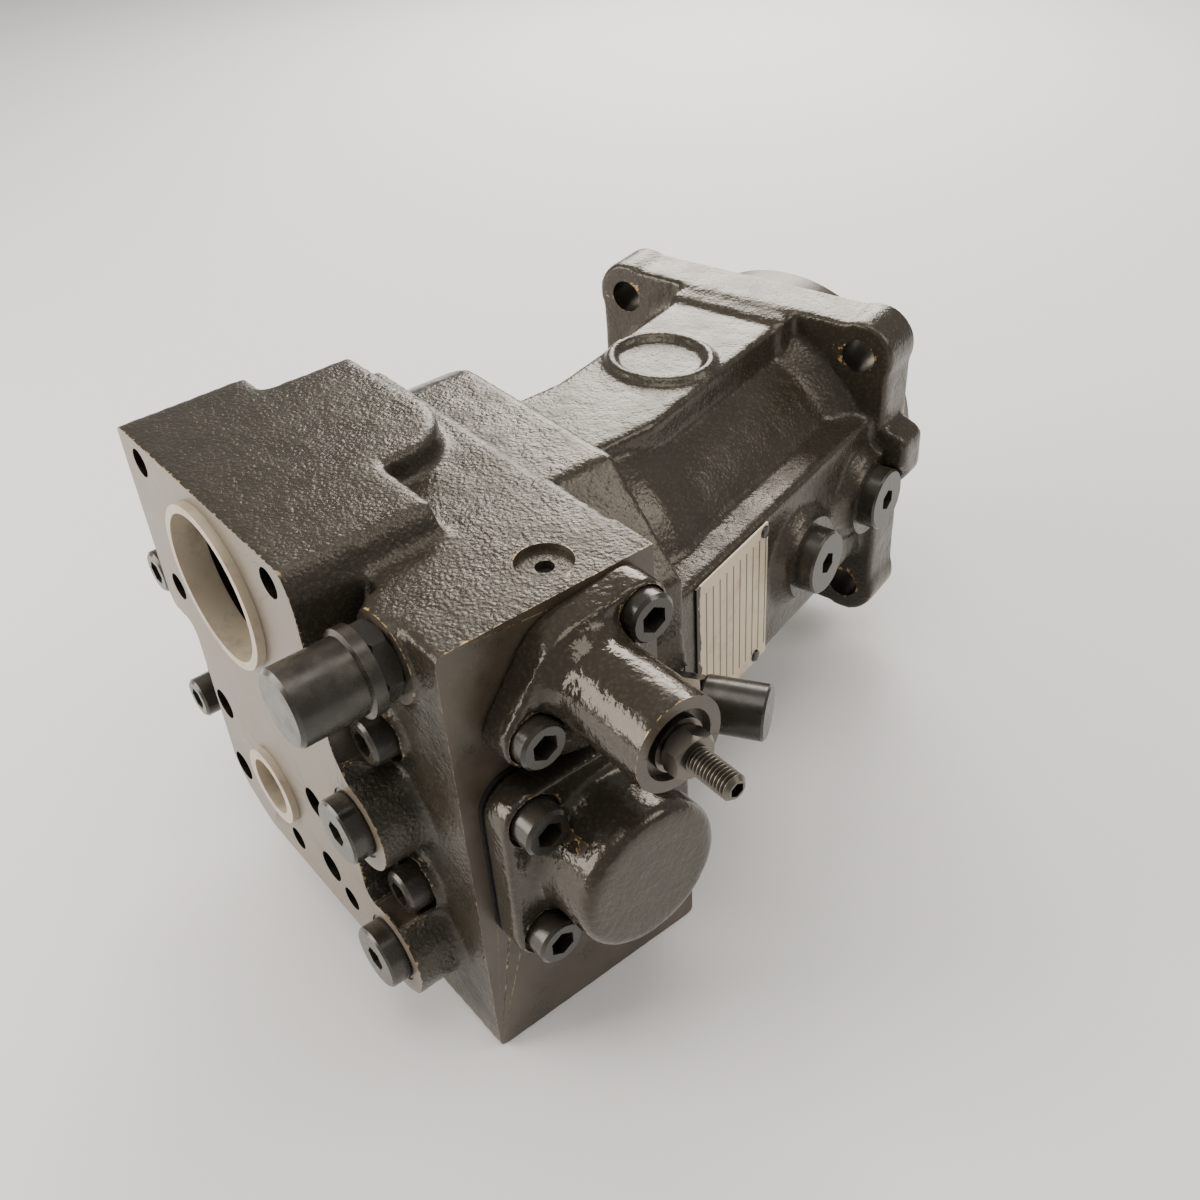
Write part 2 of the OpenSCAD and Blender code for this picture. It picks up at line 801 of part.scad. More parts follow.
module pistons() {
    r = piston_d / 2 - fit;
    color(steel)
        at_pistons()
            difference() {
                union() {
                    sphere(r = ball_r);
                    rotate_extrude()
                        polygon([
                            [0, 2], [6, 8], [6, 15], [8.6, 34], [8.6, 41], [r, 43], [r, 45], [r - 1.4, 45],
                            [r - 1.4, 47], [r, 47], [r, 53], [r - 1, 54], [0, 54]
                        ]);
                }
                translate([0, 0, -20])
                    cylinder(d = 2.6, h = 80);
                translate([0, 0, 24])
                    cylinder(d = 8, h = 40);
            }
}

module piston_rings() {
    r = piston_d / 2;
    color(dark_steel)
        at_pistons()
            rotate_extrude()
                polygon([[r - 1.3, 45.1], [r - 0.02, 45.1], [r - 0.02, 46.9], [r - 1.3, 46.9]]);
}

module cylinder_block() {
    color(steel)
        difference() {
            rod_y(0, 0, -pivot_back - cyl_back, -pivot_back - cyl_front, 2 * cyl_r);
            at_pistons() {
                translate([0, 0, cyl_front - 1])
                    cylinder(d = piston_d, h = 36);
                translate([0, 0, cyl_back - 8])
                    cylinder(d = 12, h = 10);
            }
            rod_y(0, 0, -pivot_back - cyl_back - 1, -pivot_back, 16.1);
            rod_y(0, 0, -pivot_back - 58, -pivot_back - 41, 21);
        }
}

module centre_pin() {
    color(steel) {
        translate([0, -pivot_back, 0])
            sphere(r = pin_ball_r);
        rod_y(0, 0, -pivot_back - 41, -pivot_back - 2, 12);
        rod_y(0, 0, -pivot_back - 41, -pivot_back - 20, 16);
        rod_y(0, 0, -pivot_back - 52, -pivot_back - 40, 10);
    }
}

// Round wire coiled about +Z from z0 to z1, with flattened ends
module coil(r, wire, z0, z1, turns) {
    per = 20;
    sides = 8;
    n = turns * per;
    pitch = (z1 - z0 - wire * 2) / (turns - 1.5);
    function rise(i) = max(0, min(turns - 1.5, i / per - 0.75));
    function lift(i) = i / per < 0.75 ? 0 : i / per > turns - 0.75 ? 1 : 0.5;
    rings = [for (i = [0:n]) [for (k = [0:sides - 1])
        let (a = i * 360 / per, w = wire / 2, rr = r + w * cos(k * 360 / sides))
        [rr * cos(a), rr * sin(a), z0 + w + rise(i) * pitch
            + wire * min(1, i / n) + w * sin(k * 360 / sides)]
    ]];
    points = [for (ring = rings) each ring];
    skin = [for (i = [0:n - 1]) for (k = [0:sides - 1]) each [
        [i * sides + k, i * sides + (k + 1) % sides, (i + 1) * sides + (k + 1) % sides],
        [i * sides + k, (i + 1) * sides + (k + 1) % sides, (i + 1) * sides + k]
    ]];
    start = [[for (k = [sides - 1:-1:0]) k]];
    finish = [[for (k = [0:sides - 1]) n * sides + k]];
    polyhedron(points, concat(skin, start, finish));
}

module centre_spring() {
    color(dark_steel)
        translate([0, -pivot_back, 0])
            rotate([90, 0, 0])
                coil(7.6, 2.4, 41, 58, 5);
}

module control_lens() {
    front = cyl_back + 0.1;
    color(steel)
        translate([0, -pivot_back, 0])
            difference() {
                intersection() {
                    translate([0, 0, -lens_z])
                        cylinder(r = lens_back, h = 2 * lens_z);
                    block(-lens_half, lens_half, -90, -front, -lens_z, lens_z);
                }
                for (s = [-1, 1])
                    intersection() {
                        difference() {
                            rod_y(0, 0, -90, -50, 2 * ball_circle_r + 12);
                            rod_y(0, 0, -91, -49, 2 * ball_circle_r - 12);
                        }
                        block(-29, 29, -90, -50, s > 0 ? 9 : -60, s > 0 ? 60 : -9);
                    }
                rod_y(0, 0, -90, -60, 12);
            }
}

module positioning_pin() {
    reach = cover_back / cos(block_turn);
    color(steel)
        translate([0, -pivot_back, 0]) {
            rod_y(0, 0, -reach + 2, -cyl_back - 3, 11.9);
            translate([0, -reach, 0])
                sphere(d = 15);
        }
}

module stroking_piston() {
    centre = cover_back * tan(block_turn);
    color(steel)
        in_block()
            difference() {
                translate([6, -cover_back, 0])
                    rotate([0, 90, 0])
                        rotate_extrude()
                            polygon([
                                [0, 0], [15, 0], [stroke_r - fit, 2], [stroke_r - fit, 44], [13, 48],
                                [13, 62], [stroke_r - fit, 64], [stroke_r - fit, 94], [15, 96], [0, 96]
                            ]);
                translate([centre, -cover_back, 0])
                    rotate([-90, 0, 0])
                        cylinder(d = 15.2, h = 30);
                translate([centre, -cover_back, 0])
                    sphere(d = 15.2);
                for (s = [-1, 1])
                    translate([centre + s * 8, -cover_back + 5, 0])
                        block(-7, 7, 0, 16, -8, 8);
            }
}

module pilot_spool() {
    r = valve_r - fit;
    color(steel)
        on_upper_axis()
            rotate_extrude()
                polygon([
                    [0, -58], [r - 1, -58], [r, -57], [r, -46], [6, -44], [6, -36], [r, -34], [r, -20],
                    [6, -18], [6, -10], [r, -8], [r, 1], [4.6, 1], [4.6, 8], [3.6, 9], [0, 9]
                ]);
}

module control_spring() {
    color(dark_steel)
        on_upper_axis()
            coil(6.4, 2.4, 1, 29, spring_turns);
}

module spring_seat() {
    color(steel)
        on_upper_axis()
            rotate_extrude()
                polygon([[0, 20], [4, 20], [4.6, 21], [4.6, 29], [9.95, 29], [9.95, 35], [9, 36], [0, 36]]);
}

module adjusting_screw() {
    color(steel)
        on_upper_axis()
            difference() {
                grooved_rod(8, 52, screw_reach, 36, 1.25);
                translate([0, 0, screw_reach - 6])
                    cylinder(d = 4 / cos(30), h = 7, $fn = 6);
            }
}

module lock_washer() {
    color(steel)
        on_upper_axis()
            difference() {
                cylinder_at(boss_len - 3, boss_len, 8.4);
                translate([0, 0, boss_len - 4])
                    cylinder(d = 8.4, h = 6);
            }
}

module cylinder_at(z0, z1, r) {
    translate([0, 0, z0])
        cylinder(r = r, h = z1 - z0);
}

module lock_nut() {
    color(steel)
        on_upper_axis()
            translate([0, 0, boss_len])
                hex_nut(13, 6.8, 8.1);
}

// Outline of the two-bolt upper cover, with X pointing down and Y towards the shaft
module upper_outline() {
    hull() {
        circle(19.5, $fn = 32);
        for (s = [-1, 1])
            translate([-s * upper_dz, s * upper_dx])
                circle(10, $fn = 32);
        translate([16, 0])
            circle(12, $fn = 32);
    }
}

module control_cover() {
    color(cast_paint)
        on_upper_axis()
            difference() {
                union() {
                    linear_extrude(plate_t)
                        upper_outline();
                    cylinder_at(1, boss_len, 15);
                    translate([0, 0, plate_t - 0.5])
                        cylinder(r1 = 18, r2 = 15, h = 6);
                }
                cylinder_at(-1, 40, 10);
                cylinder_at(39, boss_len + 1, 4.05);
                cylinder_at(boss_len - 3, boss_len + 1, 11.2);
                for (s = [-1, 1])
                    translate([-s * upper_dz, s * upper_dx, 0]) {
                        cylinder_at(-1, 30, 5.5);
                        cylinder_at(7, 24, 8.8);
                    }
            }
}

module stroking_cover() {
    r = dome_d / 2;
    color(cast_paint)
        on_lower_axis()
            difference() {
                union() {
                    translate([0, 0, 1.5])
                        linear_extrude(plate_t)
                            rounded_rect(lower_w, lower_w, 12);
                    rotate_extrude()
                        polygon(concat(
                            [[0, 2], [r + 4, 2], [r + 4, plate_t + 1], [r + 1, plate_t + 3], [r, plate_t + 7]],
                            [for (a = [0:15:90]) [r - 4 + 4 * cos(a), dome_len - 4 + 4 * sin(a)]],
                            [[0, dome_len]]
                        ));
                }
                cylinder_at(-1, dome_len - 8, stroke_r);
                for (sx = [-1, 1])
                    for (sy = [-1, 1])
                        translate([sx * lower_pitch / 2, sy * lower_pitch / 2, 0]) {
                            cylinder_at(-1, 40, 5.5);
                            cylinder_at(11, 26, 9.2);
                        }
            }
}

module stroking_gasket() {
    color(rubber)
        on_lower_axis()
            difference() {
                linear_extrude(1.5)
                    rounded_rect(lower_w, lower_w, 12);
                cylinder_at(-1, 3, stroke_r + 0.5);
                for (sx = [-1, 1])
                    for (sy = [-1, 1])
                        translate([sx * lower_pitch / 2, sy * lower_pitch / 2, 0])
                            cylinder_at(-1, 3, 5.6);
            }
}

module cover_screws() {
    color(dark_steel) {
        on_upper_axis()
            for (s = [-1, 1])
                translate([-s * upper_dz, s * upper_dx, 7])
                    cap_screw(10, 16, 10, 24, 8);
        on_lower_axis()
            for (sx = [-1, 1])
                for (sy = [-1, 1])
                    translate([sx * lower_pitch / 2, sy * lower_pitch / 2, 11])
                        cap_screw(10, 16, 10, 28, 8);
    }
}

module rear_stop_screw() {
    color(steel)
        on_rear_stop()
            grooved_rod(10, 12, 26, -24, 1.5);
}

module rear_stop_nut() {
    color(steel)
        on_rear_stop()
            translate([0, 0, 1.5])
                union() {
                    hex_nut(22, 7, 10.1);
                    difference() {
                        cylinder_at(6, 12, 10);
                        cylinder_at(5, 13, 5.05);
                    }
                }
}

module rear_cap() {
    r = rear_cap_d / 2;
    color(black_plastic)
        on_rear_stop()
            difference() {
                rotate_extrude()
                    polygon([
                        [0, 8.6], [r + 1.8, 8.6], [r + 1.8, 12.5], [r, 13.2], [r, 33.3], [r - 1.2, 34.5], [0, 34.5]
                    ]);
                cylinder_at(8, 31, 10.05);
            }
}

module side_stop_screw() {
    color(steel)
        on_side_stop()
            grooved_rod(10, side_nut[1], 21, -29.5, 1.5);
}

module side_stop_nut() {
    color(steel)
        on_side_stop()
            translate([0, 0, side_nut[0]])
                hex_nut(17, side_nut[1] - side_nut[0], 10.1);
}

module side_cap() {
    r = side_cap_d / 2;
    color(black_plastic)
        on_side_stop()
            difference() {
                rotate_extrude()
                    polygon([
                        [0, side_nut[1] + 0.2], [r - 0.3, side_nut[1] + 0.2], [r, side_nut[1] + 1], [r, 27.8],
                        [r - 0.8, 28.6], [0, 28.6]
                    ]);
                cylinder_at(-1, 25, 7.6);
            }
}

module suction_sleeve() {
    color(cream_plastic)
        in_block()
            difference() {
                rod_y(0, suction_z, -port_back - 3, -port_back + 7.9, sleeve_d);
                rod_y(0, suction_z, -port_back - 4, -port_back + 9, sleeve_d - 6);
            }
}

// Ring left in the pressure port, which keeps its edge clean
module pressure_sleeve() {
    color(cream_plastic)
        in_block()
            difference() {
                rod_y(0, -pressure_z, -port_back - 2.5, -port_back + 9.9, pressure_d - 0.1);
                rod_y(0, -pressure_z, -port_back - 4, -port_back + 11, pressure_d - 8);
            }
}

module drain_plugs() {
    color(dark_steel)
        for (y = drain_y)
            translate([drain_seat, y, 0])
                rotate([0, 90, 0])
                    disc_plug(18.3, 26, 7, 12, 8);
}

module gauge_plugs() {
    color(dark_steel)
        in_block()
            for (g = [gauge_a, gauge_b])
                translate([g[0], -port_back + seat_sink, g[1]])
                    rotate([90, 0, 0])
                        disc_plug(14.3, plug_d, 7 + seat_sink, 12, 8);
}

module top_plug() {
    color(steel)
        in_block()
            translate([88.8, -93.6, block_top - 10.9])
                difference() {
                    union() {
                        cylinder(d = 14.3, h = 7);
                        translate([0, 0, 6.5])
                            cylinder(d = 17.9, h = 4.4 - top_plug_sink);
                    }
                    translate([0, 0, 6])
                        cylinder(d = 6, h = 5);
                }
}

module name_plate() {
    color(label_paint)
        difference() {
            block(side_x, side_x + 0.8, plate_y[0], plate_y[1], -side_low + 4, side_top - 2);
            for (s = rivet_spots)
                rod_x(s[0], s[1], side_x - 1, side_x + 2, 3.1);
        }
}

module plate_rivets() {
    color(steel)
        for (s = rivet_spots)
            translate([side_x - 7, s[0], s[1]])
                rotate([0, 90, 0])
                    rotate_extrude()
                        polygon([[0, 0], [1.5, 0], [1.5, 7.8], [2.6, 7.8], [2.2, 8.7], [1.2, 9.1], [0, 9.2]]);
}

housing();
port_block();
joint_screws();
drive_shaft();
seal_carrier();
shaft_seal();
retaining_ring();
bearing_cups();
bearing_cones();
front_rollers();
rear_rollers();
retaining_plate();
retaining_screws();
pistons();
piston_rings();
cylinder_block();
centre_pin();
centre_spring();
control_lens();
positioning_pin();
stroking_piston();
pilot_spool();
control_spring();
spring_seat();
adjusting_screw();
lock_washer();
lock_nut();
control_cover();
stroking_cover();
stroking_gasket();
cover_screws();
rear_stop_screw();
rear_stop_nut();
rear_cap();
side_stop_screw();
side_stop_nut();
side_cap();
suction_sleeve();
pressure_sleeve();
drain_plugs();
gauge_plugs();
top_plug();
name_plate();
plate_rivets();
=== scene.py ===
"""Looks of a bent-axis axial piston pump: painted sand castings, covers, screws, caps and name plate."""
import logging
import math
from dataclasses import dataclass
from enum import Enum, IntEnum
from typing import Any

import bmesh
import bpy
from mathutils import Matrix, Vector, noise
from mathutils.bvhtree import BVHTree


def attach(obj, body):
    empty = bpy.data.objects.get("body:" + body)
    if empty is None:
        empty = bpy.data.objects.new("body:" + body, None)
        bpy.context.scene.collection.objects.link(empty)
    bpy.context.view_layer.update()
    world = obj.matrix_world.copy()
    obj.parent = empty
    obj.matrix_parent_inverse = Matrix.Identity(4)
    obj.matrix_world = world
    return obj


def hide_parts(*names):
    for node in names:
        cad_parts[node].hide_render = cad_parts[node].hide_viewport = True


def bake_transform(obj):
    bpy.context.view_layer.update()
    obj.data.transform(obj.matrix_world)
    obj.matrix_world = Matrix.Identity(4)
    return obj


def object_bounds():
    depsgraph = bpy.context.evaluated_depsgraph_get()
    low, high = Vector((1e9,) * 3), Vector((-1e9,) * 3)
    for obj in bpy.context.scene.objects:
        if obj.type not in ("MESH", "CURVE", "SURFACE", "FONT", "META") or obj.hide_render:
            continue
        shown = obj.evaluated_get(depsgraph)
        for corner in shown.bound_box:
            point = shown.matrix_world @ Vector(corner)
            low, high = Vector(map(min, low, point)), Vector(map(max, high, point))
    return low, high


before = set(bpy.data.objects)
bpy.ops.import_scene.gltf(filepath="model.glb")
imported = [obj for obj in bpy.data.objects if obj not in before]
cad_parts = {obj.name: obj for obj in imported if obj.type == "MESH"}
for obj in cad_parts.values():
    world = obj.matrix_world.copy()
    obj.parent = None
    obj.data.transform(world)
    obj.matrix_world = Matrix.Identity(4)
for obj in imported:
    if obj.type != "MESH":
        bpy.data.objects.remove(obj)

logging.basicConfig(level=logging.INFO, format="%(message)s")
LOG = logging.getLogger("pump")
MM = 0.001
CAD_BOX = [list(corner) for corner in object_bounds()]
# Turn of the block about Z, in degrees
BLOCK_TURN = -15.0
# Main places, in millimetres: how far the turn's axis lies behind the mounting face, and in the turned block
# its port, joint and cover faces, its valve axes, its top and its foot
PIVOT_BACK = 114.0
PORT_FACE = -158.4
JOINT_FACE = -65.3
COVER_FACE = 103.7
VALVES_Y = -100.3
UPPER_Z = 65.3
BLOCK_TOP = 87.3
BLOCK_FOOT = -87.8
# Metal left on a face for machining, in millimetres
ALLOWANCE = 3.0
# Frames of the part, in millimetres: the shaft side, the turned block and the axes of what is screwed to it
PART = Matrix.Scale(MM, 4)
BLOCK = (
    Matrix.Translation((0.0, -PIVOT_BACK * MM, 0.0))
    @ Matrix.Rotation(math.radians(BLOCK_TURN), 4, "Z")
    @ Matrix.Scale(MM, 4)
)
OUTWARD = Matrix.Rotation(math.radians(90.0), 4, "Y")
UPPER_AXIS = BLOCK @ Matrix.Translation((COVER_FACE, VALVES_Y, UPPER_Z)) @ OUTWARD
LOWER_AXIS = BLOCK @ Matrix.Translation((COVER_FACE, VALVES_Y, 0.0)) @ OUTWARD
SIDE_STOP = (
    BLOCK
    @ Matrix.Translation((88.0, -39.5, 0.0))
    @ Matrix.Rotation(math.radians(33.0), 4, "Z")
    @ OUTWARD
)
# Edges under this angle are shaded soft
SOFT_ANGLE = math.radians(38.0)
# In metres: CAD points nearer than the first are merged, faces nearer to a tool than the second are its cut
MERGE_DISTANCE = 1e-6
TOUCH_DISTANCE = 4e-6
# Room between the pump and the floor, in millimetres
FLOOR_GAP = 0.5


def linear(code: str, alpha: float = 1.0) -> tuple[float, float, float, float]:
    """Turns an sRGB hex code into a linear colour.

    Args:
        code: Six hex digits, with or without a leading hash.
        alpha: Opacity of the colour.

    Returns:
        Red, green, blue and alpha, each from 0 to 1.
    """
    text = code.lstrip("#")
    out = []
    for i in (0, 2, 4):
        value = int(text[i : i + 2], 16) / 255.0
        out.append(value / 12.92 if value <= 0.04045 else ((value + 0.055) / 1.055) ** 2.4)
    return (out[0], out[1], out[2], alpha)


def pattern(size_mm: float) -> float:
    """Returns the texture scale that gives a pattern of a size in millimetres."""
    return 1.0 / (size_mm * MM)


def add(
    tree: bpy.types.NodeTree, kind: str, settings: dict[str, Any] | None = None, **inputs: Any
) -> bpy.types.Node:
    """Adds a node to a tree, with its settings, values and links.

    Args:
        tree: Node tree to add to.
        kind: Blender's name of the node type.
        settings: Attributes of the node itself.
        **inputs: Socket names with spaces as underscores, or i0, i1 for a place in the
            list of inputs. A socket is linked and any other value is set.

    Returns:
        The new node.
    """
    node = tree.nodes.new(kind)
    for name, value in (settings or {}).items():
        setattr(node, name, value)
    for name, value in inputs.items():
        if name[0] == "i" and name[1:].isdigit():
            socket = node.inputs[int(name[1:])]
        else:
            socket = node.inputs[name.replace("_", " ")]
        if isinstance(value, bpy.types.NodeSocket):
            tree.links.new(value, socket)
        else:
            socket.default_value = value
    return node


def begin(name: str) -> tuple[bpy.types.Material, bpy.types.NodeTree, bpy.types.Node, bpy.types.NodeSocket]:
    """Starts a material.

    Args:
        name: Name of the material.

    Returns:
        The material, its tree, its shader and its Object coordinates.
    """
    material = bpy.data.materials.new(name)
    material.use_nodes = True
    tree = material.node_tree
    place = add(tree, "ShaderNodeTexCoord").outputs["Object"]
    return material, tree, tree.nodes["Principled BSDF"], place


class Finish(IntEnum):
    """Places of the finishes in a casting's list of materials."""

    CAST = 0
    MACHINED = 1
    BORE = 2
    PORT = 3


class Grain(Enum):
    """How much of the sand mould shows through the paint."""

    SMOOTH = 0.12
    ORANGE_PEEL = 0.5
    SAND = 0.8


@dataclass(frozen=True)
class ThickPaint:
    """Dark olive-grey alkyd enamel over a sand casting: glossy, lumpy, lighter where grains break through."""

    name: str
    tint: str = "#2F2B24"
    worn: str = "#3F3A31"
    chip: str = "#A98F68"
    grain: Grain = Grain.ORANGE_PEEL
    roughness: float = 0.24
    ripple: float = 0.45
    # Real sizes: ripples of the wet paint, moulding sand, coarse grains, runs, and flakes broken off
    ripple_mm: float = 3.5
    sand_mm: float = 1.0
    grain_mm: float = 1.7
    run_mm: float = 14.0
    flake_mm: float = 2.2

    def build(self) -> bpy.types.Material:
        """Makes the material.

        Returns:
            The finished material.
        """
        material, tree, shader, place = begin(self.name)
        rough = self.grain.value
        # Moulding sand, ripples of the wet paint and runs where it sagged
        sand = add(
            tree, "ShaderNodeTexNoise", Vector=place, Scale=pattern(self.sand_mm), Detail=3.0, Roughness=0.6
        )
        peel = add(tree, "ShaderNodeTexNoise", Vector=place, Scale=pattern(self.ripple_mm), Detail=2.0)
        runs = add(tree, "ShaderNodeTexNoise", Vector=place, Scale=pattern(self.run_mm), Detail=3.0)
        # Single coarse grains that stand out of the paint
        cell = add(
            tree, "ShaderNodeTexVoronoi", {"feature": "SMOOTH_F1"}, Vector=place,
            Scale=pattern(self.grain_mm), Smoothness=0.35,
        )
        crest = add(
            tree, "ShaderNodeMapRange", Value=cell.outputs["Distance"], From_Min=0.15, From_Max=0.55,
            To_Min=1.0, To_Max=0.0,
        )
        fine = add(tree, "ShaderNodeMath", {"operation": "MULTIPLY"}, i0=sand.outputs["Fac"], i1=0.7 * rough)
        grains = add(
            tree, "ShaderNodeMath", {"operation": "MULTIPLY_ADD"}, i0=crest.outputs[0], i1=0.3 * rough,
            i2=fine.outputs[0],
        )
        skin = add(
            tree, "ShaderNodeMath", {"operation": "MULTIPLY_ADD"}, i0=peel.outputs["Fac"], i1=self.ripple,
            i2=grains.outputs[0],
        )
        height = add(
            tree, "ShaderNodeMath", {"operation": "MULTIPLY_ADD"}, i0=runs.outputs["Fac"], i1=0.9,
            i2=skin.outputs[0],
        )
        bump = add(tree, "ShaderNodeBump", Strength=0.8, Distance=0.0005, Height=height.outputs[0])
        tone = add(
            tree, "ShaderNodeMapRange", Value=grains.outputs[0], From_Min=0.35 * rough, From_Max=0.8 * rough
        )
        painted = add(
            tree, "ShaderNodeMix", {"data_type": "RGBA"}, i0=tone.outputs[0], i6=linear(self.tint),
            i7=linear(self.worn),
        )
        # Paint broken off along cut edges, in flakes that show the primer
        edge = add(tree, "ShaderNodeAttribute", {"attribute_name": "cut_edge"})
        flake = add(
            tree, "ShaderNodeTexNoise", Vector=place, Scale=pattern(self.flake_mm), Detail=4.0, Roughness=0.7
        )
        broken = add(
            tree, "ShaderNodeMath", {"operation": "MULTIPLY"}, i0=edge.outputs["Fac"], i1=flake.outputs["Fac"]
        )
        gone = add(tree, "ShaderNodeMapRange", Value=broken.outputs[0], From_Min=0.465, From_Max=0.515)
        colour = add(
            tree, "ShaderNodeMix", {"data_type": "RGBA"}, i0=gone.outputs[0], i6=painted.outputs[2],
            i7=linear(self.chip),
        )
        gloss = add(
            tree, "ShaderNodeMapRange", Value=runs.outputs["Fac"], From_Min=0.3, From_Max=0.7,
            To_Min=self.roughness - 0.07, To_Max=self.roughness + 0.12,
        )
        tree.links.new(colour.outputs[2], shader.inputs["Base Color"])
        tree.links.new(gloss.outputs[0], shader.inputs["Roughness"])
        tree.links.new(bump.outputs[0], shader.inputs["Normal"])
        shader.inputs["IOR"].default_value = 1.5
        # The warm tint of the reflections is painted light: it stands in for the warm light of the room, not
        # for a tint of the paint.
        shader.inputs["Specular Tint"].default_value = linear("#FFF8EE")
        return material


@dataclass(frozen=True)
class ThinPaint:
    """The same enamel, thin and even on a milled or turned face, with the tool marks showing through."""

    name: str
    tint: str = "#40392F"
    worn: str = "#574E42"
    roughness: float = 0.30
    # Real sizes: marks of the machining under the paint, and clouds of thinner paint
    mark_mm: float = 0.9
    cloud_mm: float = 18.0

    def build(self) -> bpy.types.Material:
        """Makes the material.

        Returns:
            The finished material.
        """
        material, tree, shader, place = begin(self.name)
        marks = add(tree, "ShaderNodeTexNoise", Vector=place, Scale=pattern(self.mark_mm), Detail=2.0)
        # Clouds of thinner paint, in which the metal below shows a little lighter
        cloud = add(
            tree, "ShaderNodeTexNoise", Vector=place, Scale=pattern(self.cloud_mm), Detail=5.0, Roughness=0.6
        )
        haze = add(tree, "ShaderNodeMapRange", Value=cloud.outputs["Fac"], From_Min=0.35, From_Max=0.7)
        colour = add(
            tree, "ShaderNodeMix", {"data_type": "RGBA"}, i0=haze.outputs[0], i6=linear(self.tint),
            i7=linear(self.worn),
        )
        both = add(
            tree, "ShaderNodeMath", {"operation": "MULTIPLY_ADD"}, i0=cloud.outputs["Fac"], i1=2.0,
            i2=marks.outputs["Fac"],
        )
        bump = add(tree, "ShaderNodeBump", Strength=0.35, Distance=0.00012, Height=both.outputs[0])
        gloss = add(
            tree, "ShaderNodeMapRange", Value=cloud.outputs["Fac"], From_Min=0.3, From_Max=0.7,
            To_Min=self.roughness - 0.06, To_Max=self.roughness + 0.1,
        )
        tree.links.new(colour.outputs[2], shader.inputs["Base Color"])
        tree.links.new(gloss.outputs[0], shader.inputs["Roughness"])
        tree.links.new(bump.outputs[0], shader.inputs["Normal"])
        shader.inputs["IOR"].default_value = 1.54
        return material


@dataclass(frozen=True)
class BareMetal:
    """Cut steel or iron: even, with fine tool marks."""

    name: str
    tint: str
    roughness: float = 0.38
    # Real sizes: marks of the machining, and clouds of oil and handling
    mark_mm: float = 0.5
    film_mm: float = 11.0

    def build(self) -> bpy.types.Material:
        """Makes the material.

        Returns:
            The finished material.
        """
        material, tree, shader, place = begin(self.name)
        marks = add(tree, "ShaderNodeTexNoise", Vector=place, Scale=pattern(self.mark_mm), Detail=2.0)
        # A film of oil and handling, in clouds that dull the gloss
        cloud = add(tree, "ShaderNodeTexNoise", Vector=place, Scale=pattern(self.film_mm), Detail=3.0)
        bump = add(tree, "ShaderNodeBump", Strength=0.2, Distance=0.0001, Height=marks.outputs["Fac"])
        gloss = add(
            tree, "ShaderNodeMapRange", Value=cloud.outputs["Fac"], From_Min=0.3, From_Max=0.7,
            To_Min=self.roughness - 0.08, To_Max=self.roughness + 0.1,
        )
        tree.links.new(gloss.outputs[0], shader.inputs["Roughness"])
        tree.links.new(bump.outputs[0], shader.inputs["Normal"])
        shader.inputs["Base Color"].default_value = linear(self.tint)
        shader.inputs["Metallic"].default_value = 1.0
        return material


@dataclass(frozen=True)
class MouldedPlastic:
    """Injection-moulded polyethylene or rubber, with a faint unevenness of the skin."""

    name: str
    tint: str
    dusty: str
    roughness: float = 0.36
    see_in: float = 0.0
    # Real sizes: sink marks of the mould, and patches of dust
    sink_mm: float = 6.0
    dust_mm: float = 9.0

    def build(self) -> bpy.types.Material:
        """Makes the material.

        Returns:
            The finished material.
        """
        material, tree, shader, place = begin(self.name)
        # Sink marks of the mould and a dusty film in patches
        skin = add(tree, "ShaderNodeTexNoise", Vector=place, Scale=pattern(self.sink_mm), Detail=4.0)
        film = add(
            tree, "ShaderNodeTexNoise", Vector=place, Scale=pattern(self.dust_mm), Detail=6.0, Roughness=0.65
        )
        dust = add(tree, "ShaderNodeMapRange", Value=film.outputs["Fac"], From_Min=0.5, From_Max=0.75)
        colour = add(
            tree, "ShaderNodeMix", {"data_type": "RGBA"}, i0=dust.outputs[0], i6=linear(self.tint),
            i7=linear(self.dusty),
        )
        bump = add(tree, "ShaderNodeBump", Strength=0.2, Distance=0.0003, Height=skin.outputs["Fac"])
        gloss = add(
            tree, "ShaderNodeMapRange", Value=skin.outputs["Fac"], From_Min=0.3, From_Max=0.7,
            To_Min=self.roughness - 0.07, To_Max=self.roughness + 0.1,
        )
        tree.links.new(colour.outputs[2], shader.inputs["Base Color"])
        tree.links.new(gloss.outputs[0], shader.inputs["Roughness"])
        tree.links.new(bump.outputs[0], shader.inputs["Normal"])
        if self.see_in:
            shader.inputs["Subsurface Weight"].default_value = self.see_in
            shader.inputs["Subsurface Scale"].default_value = 2.0 * MM
        return material


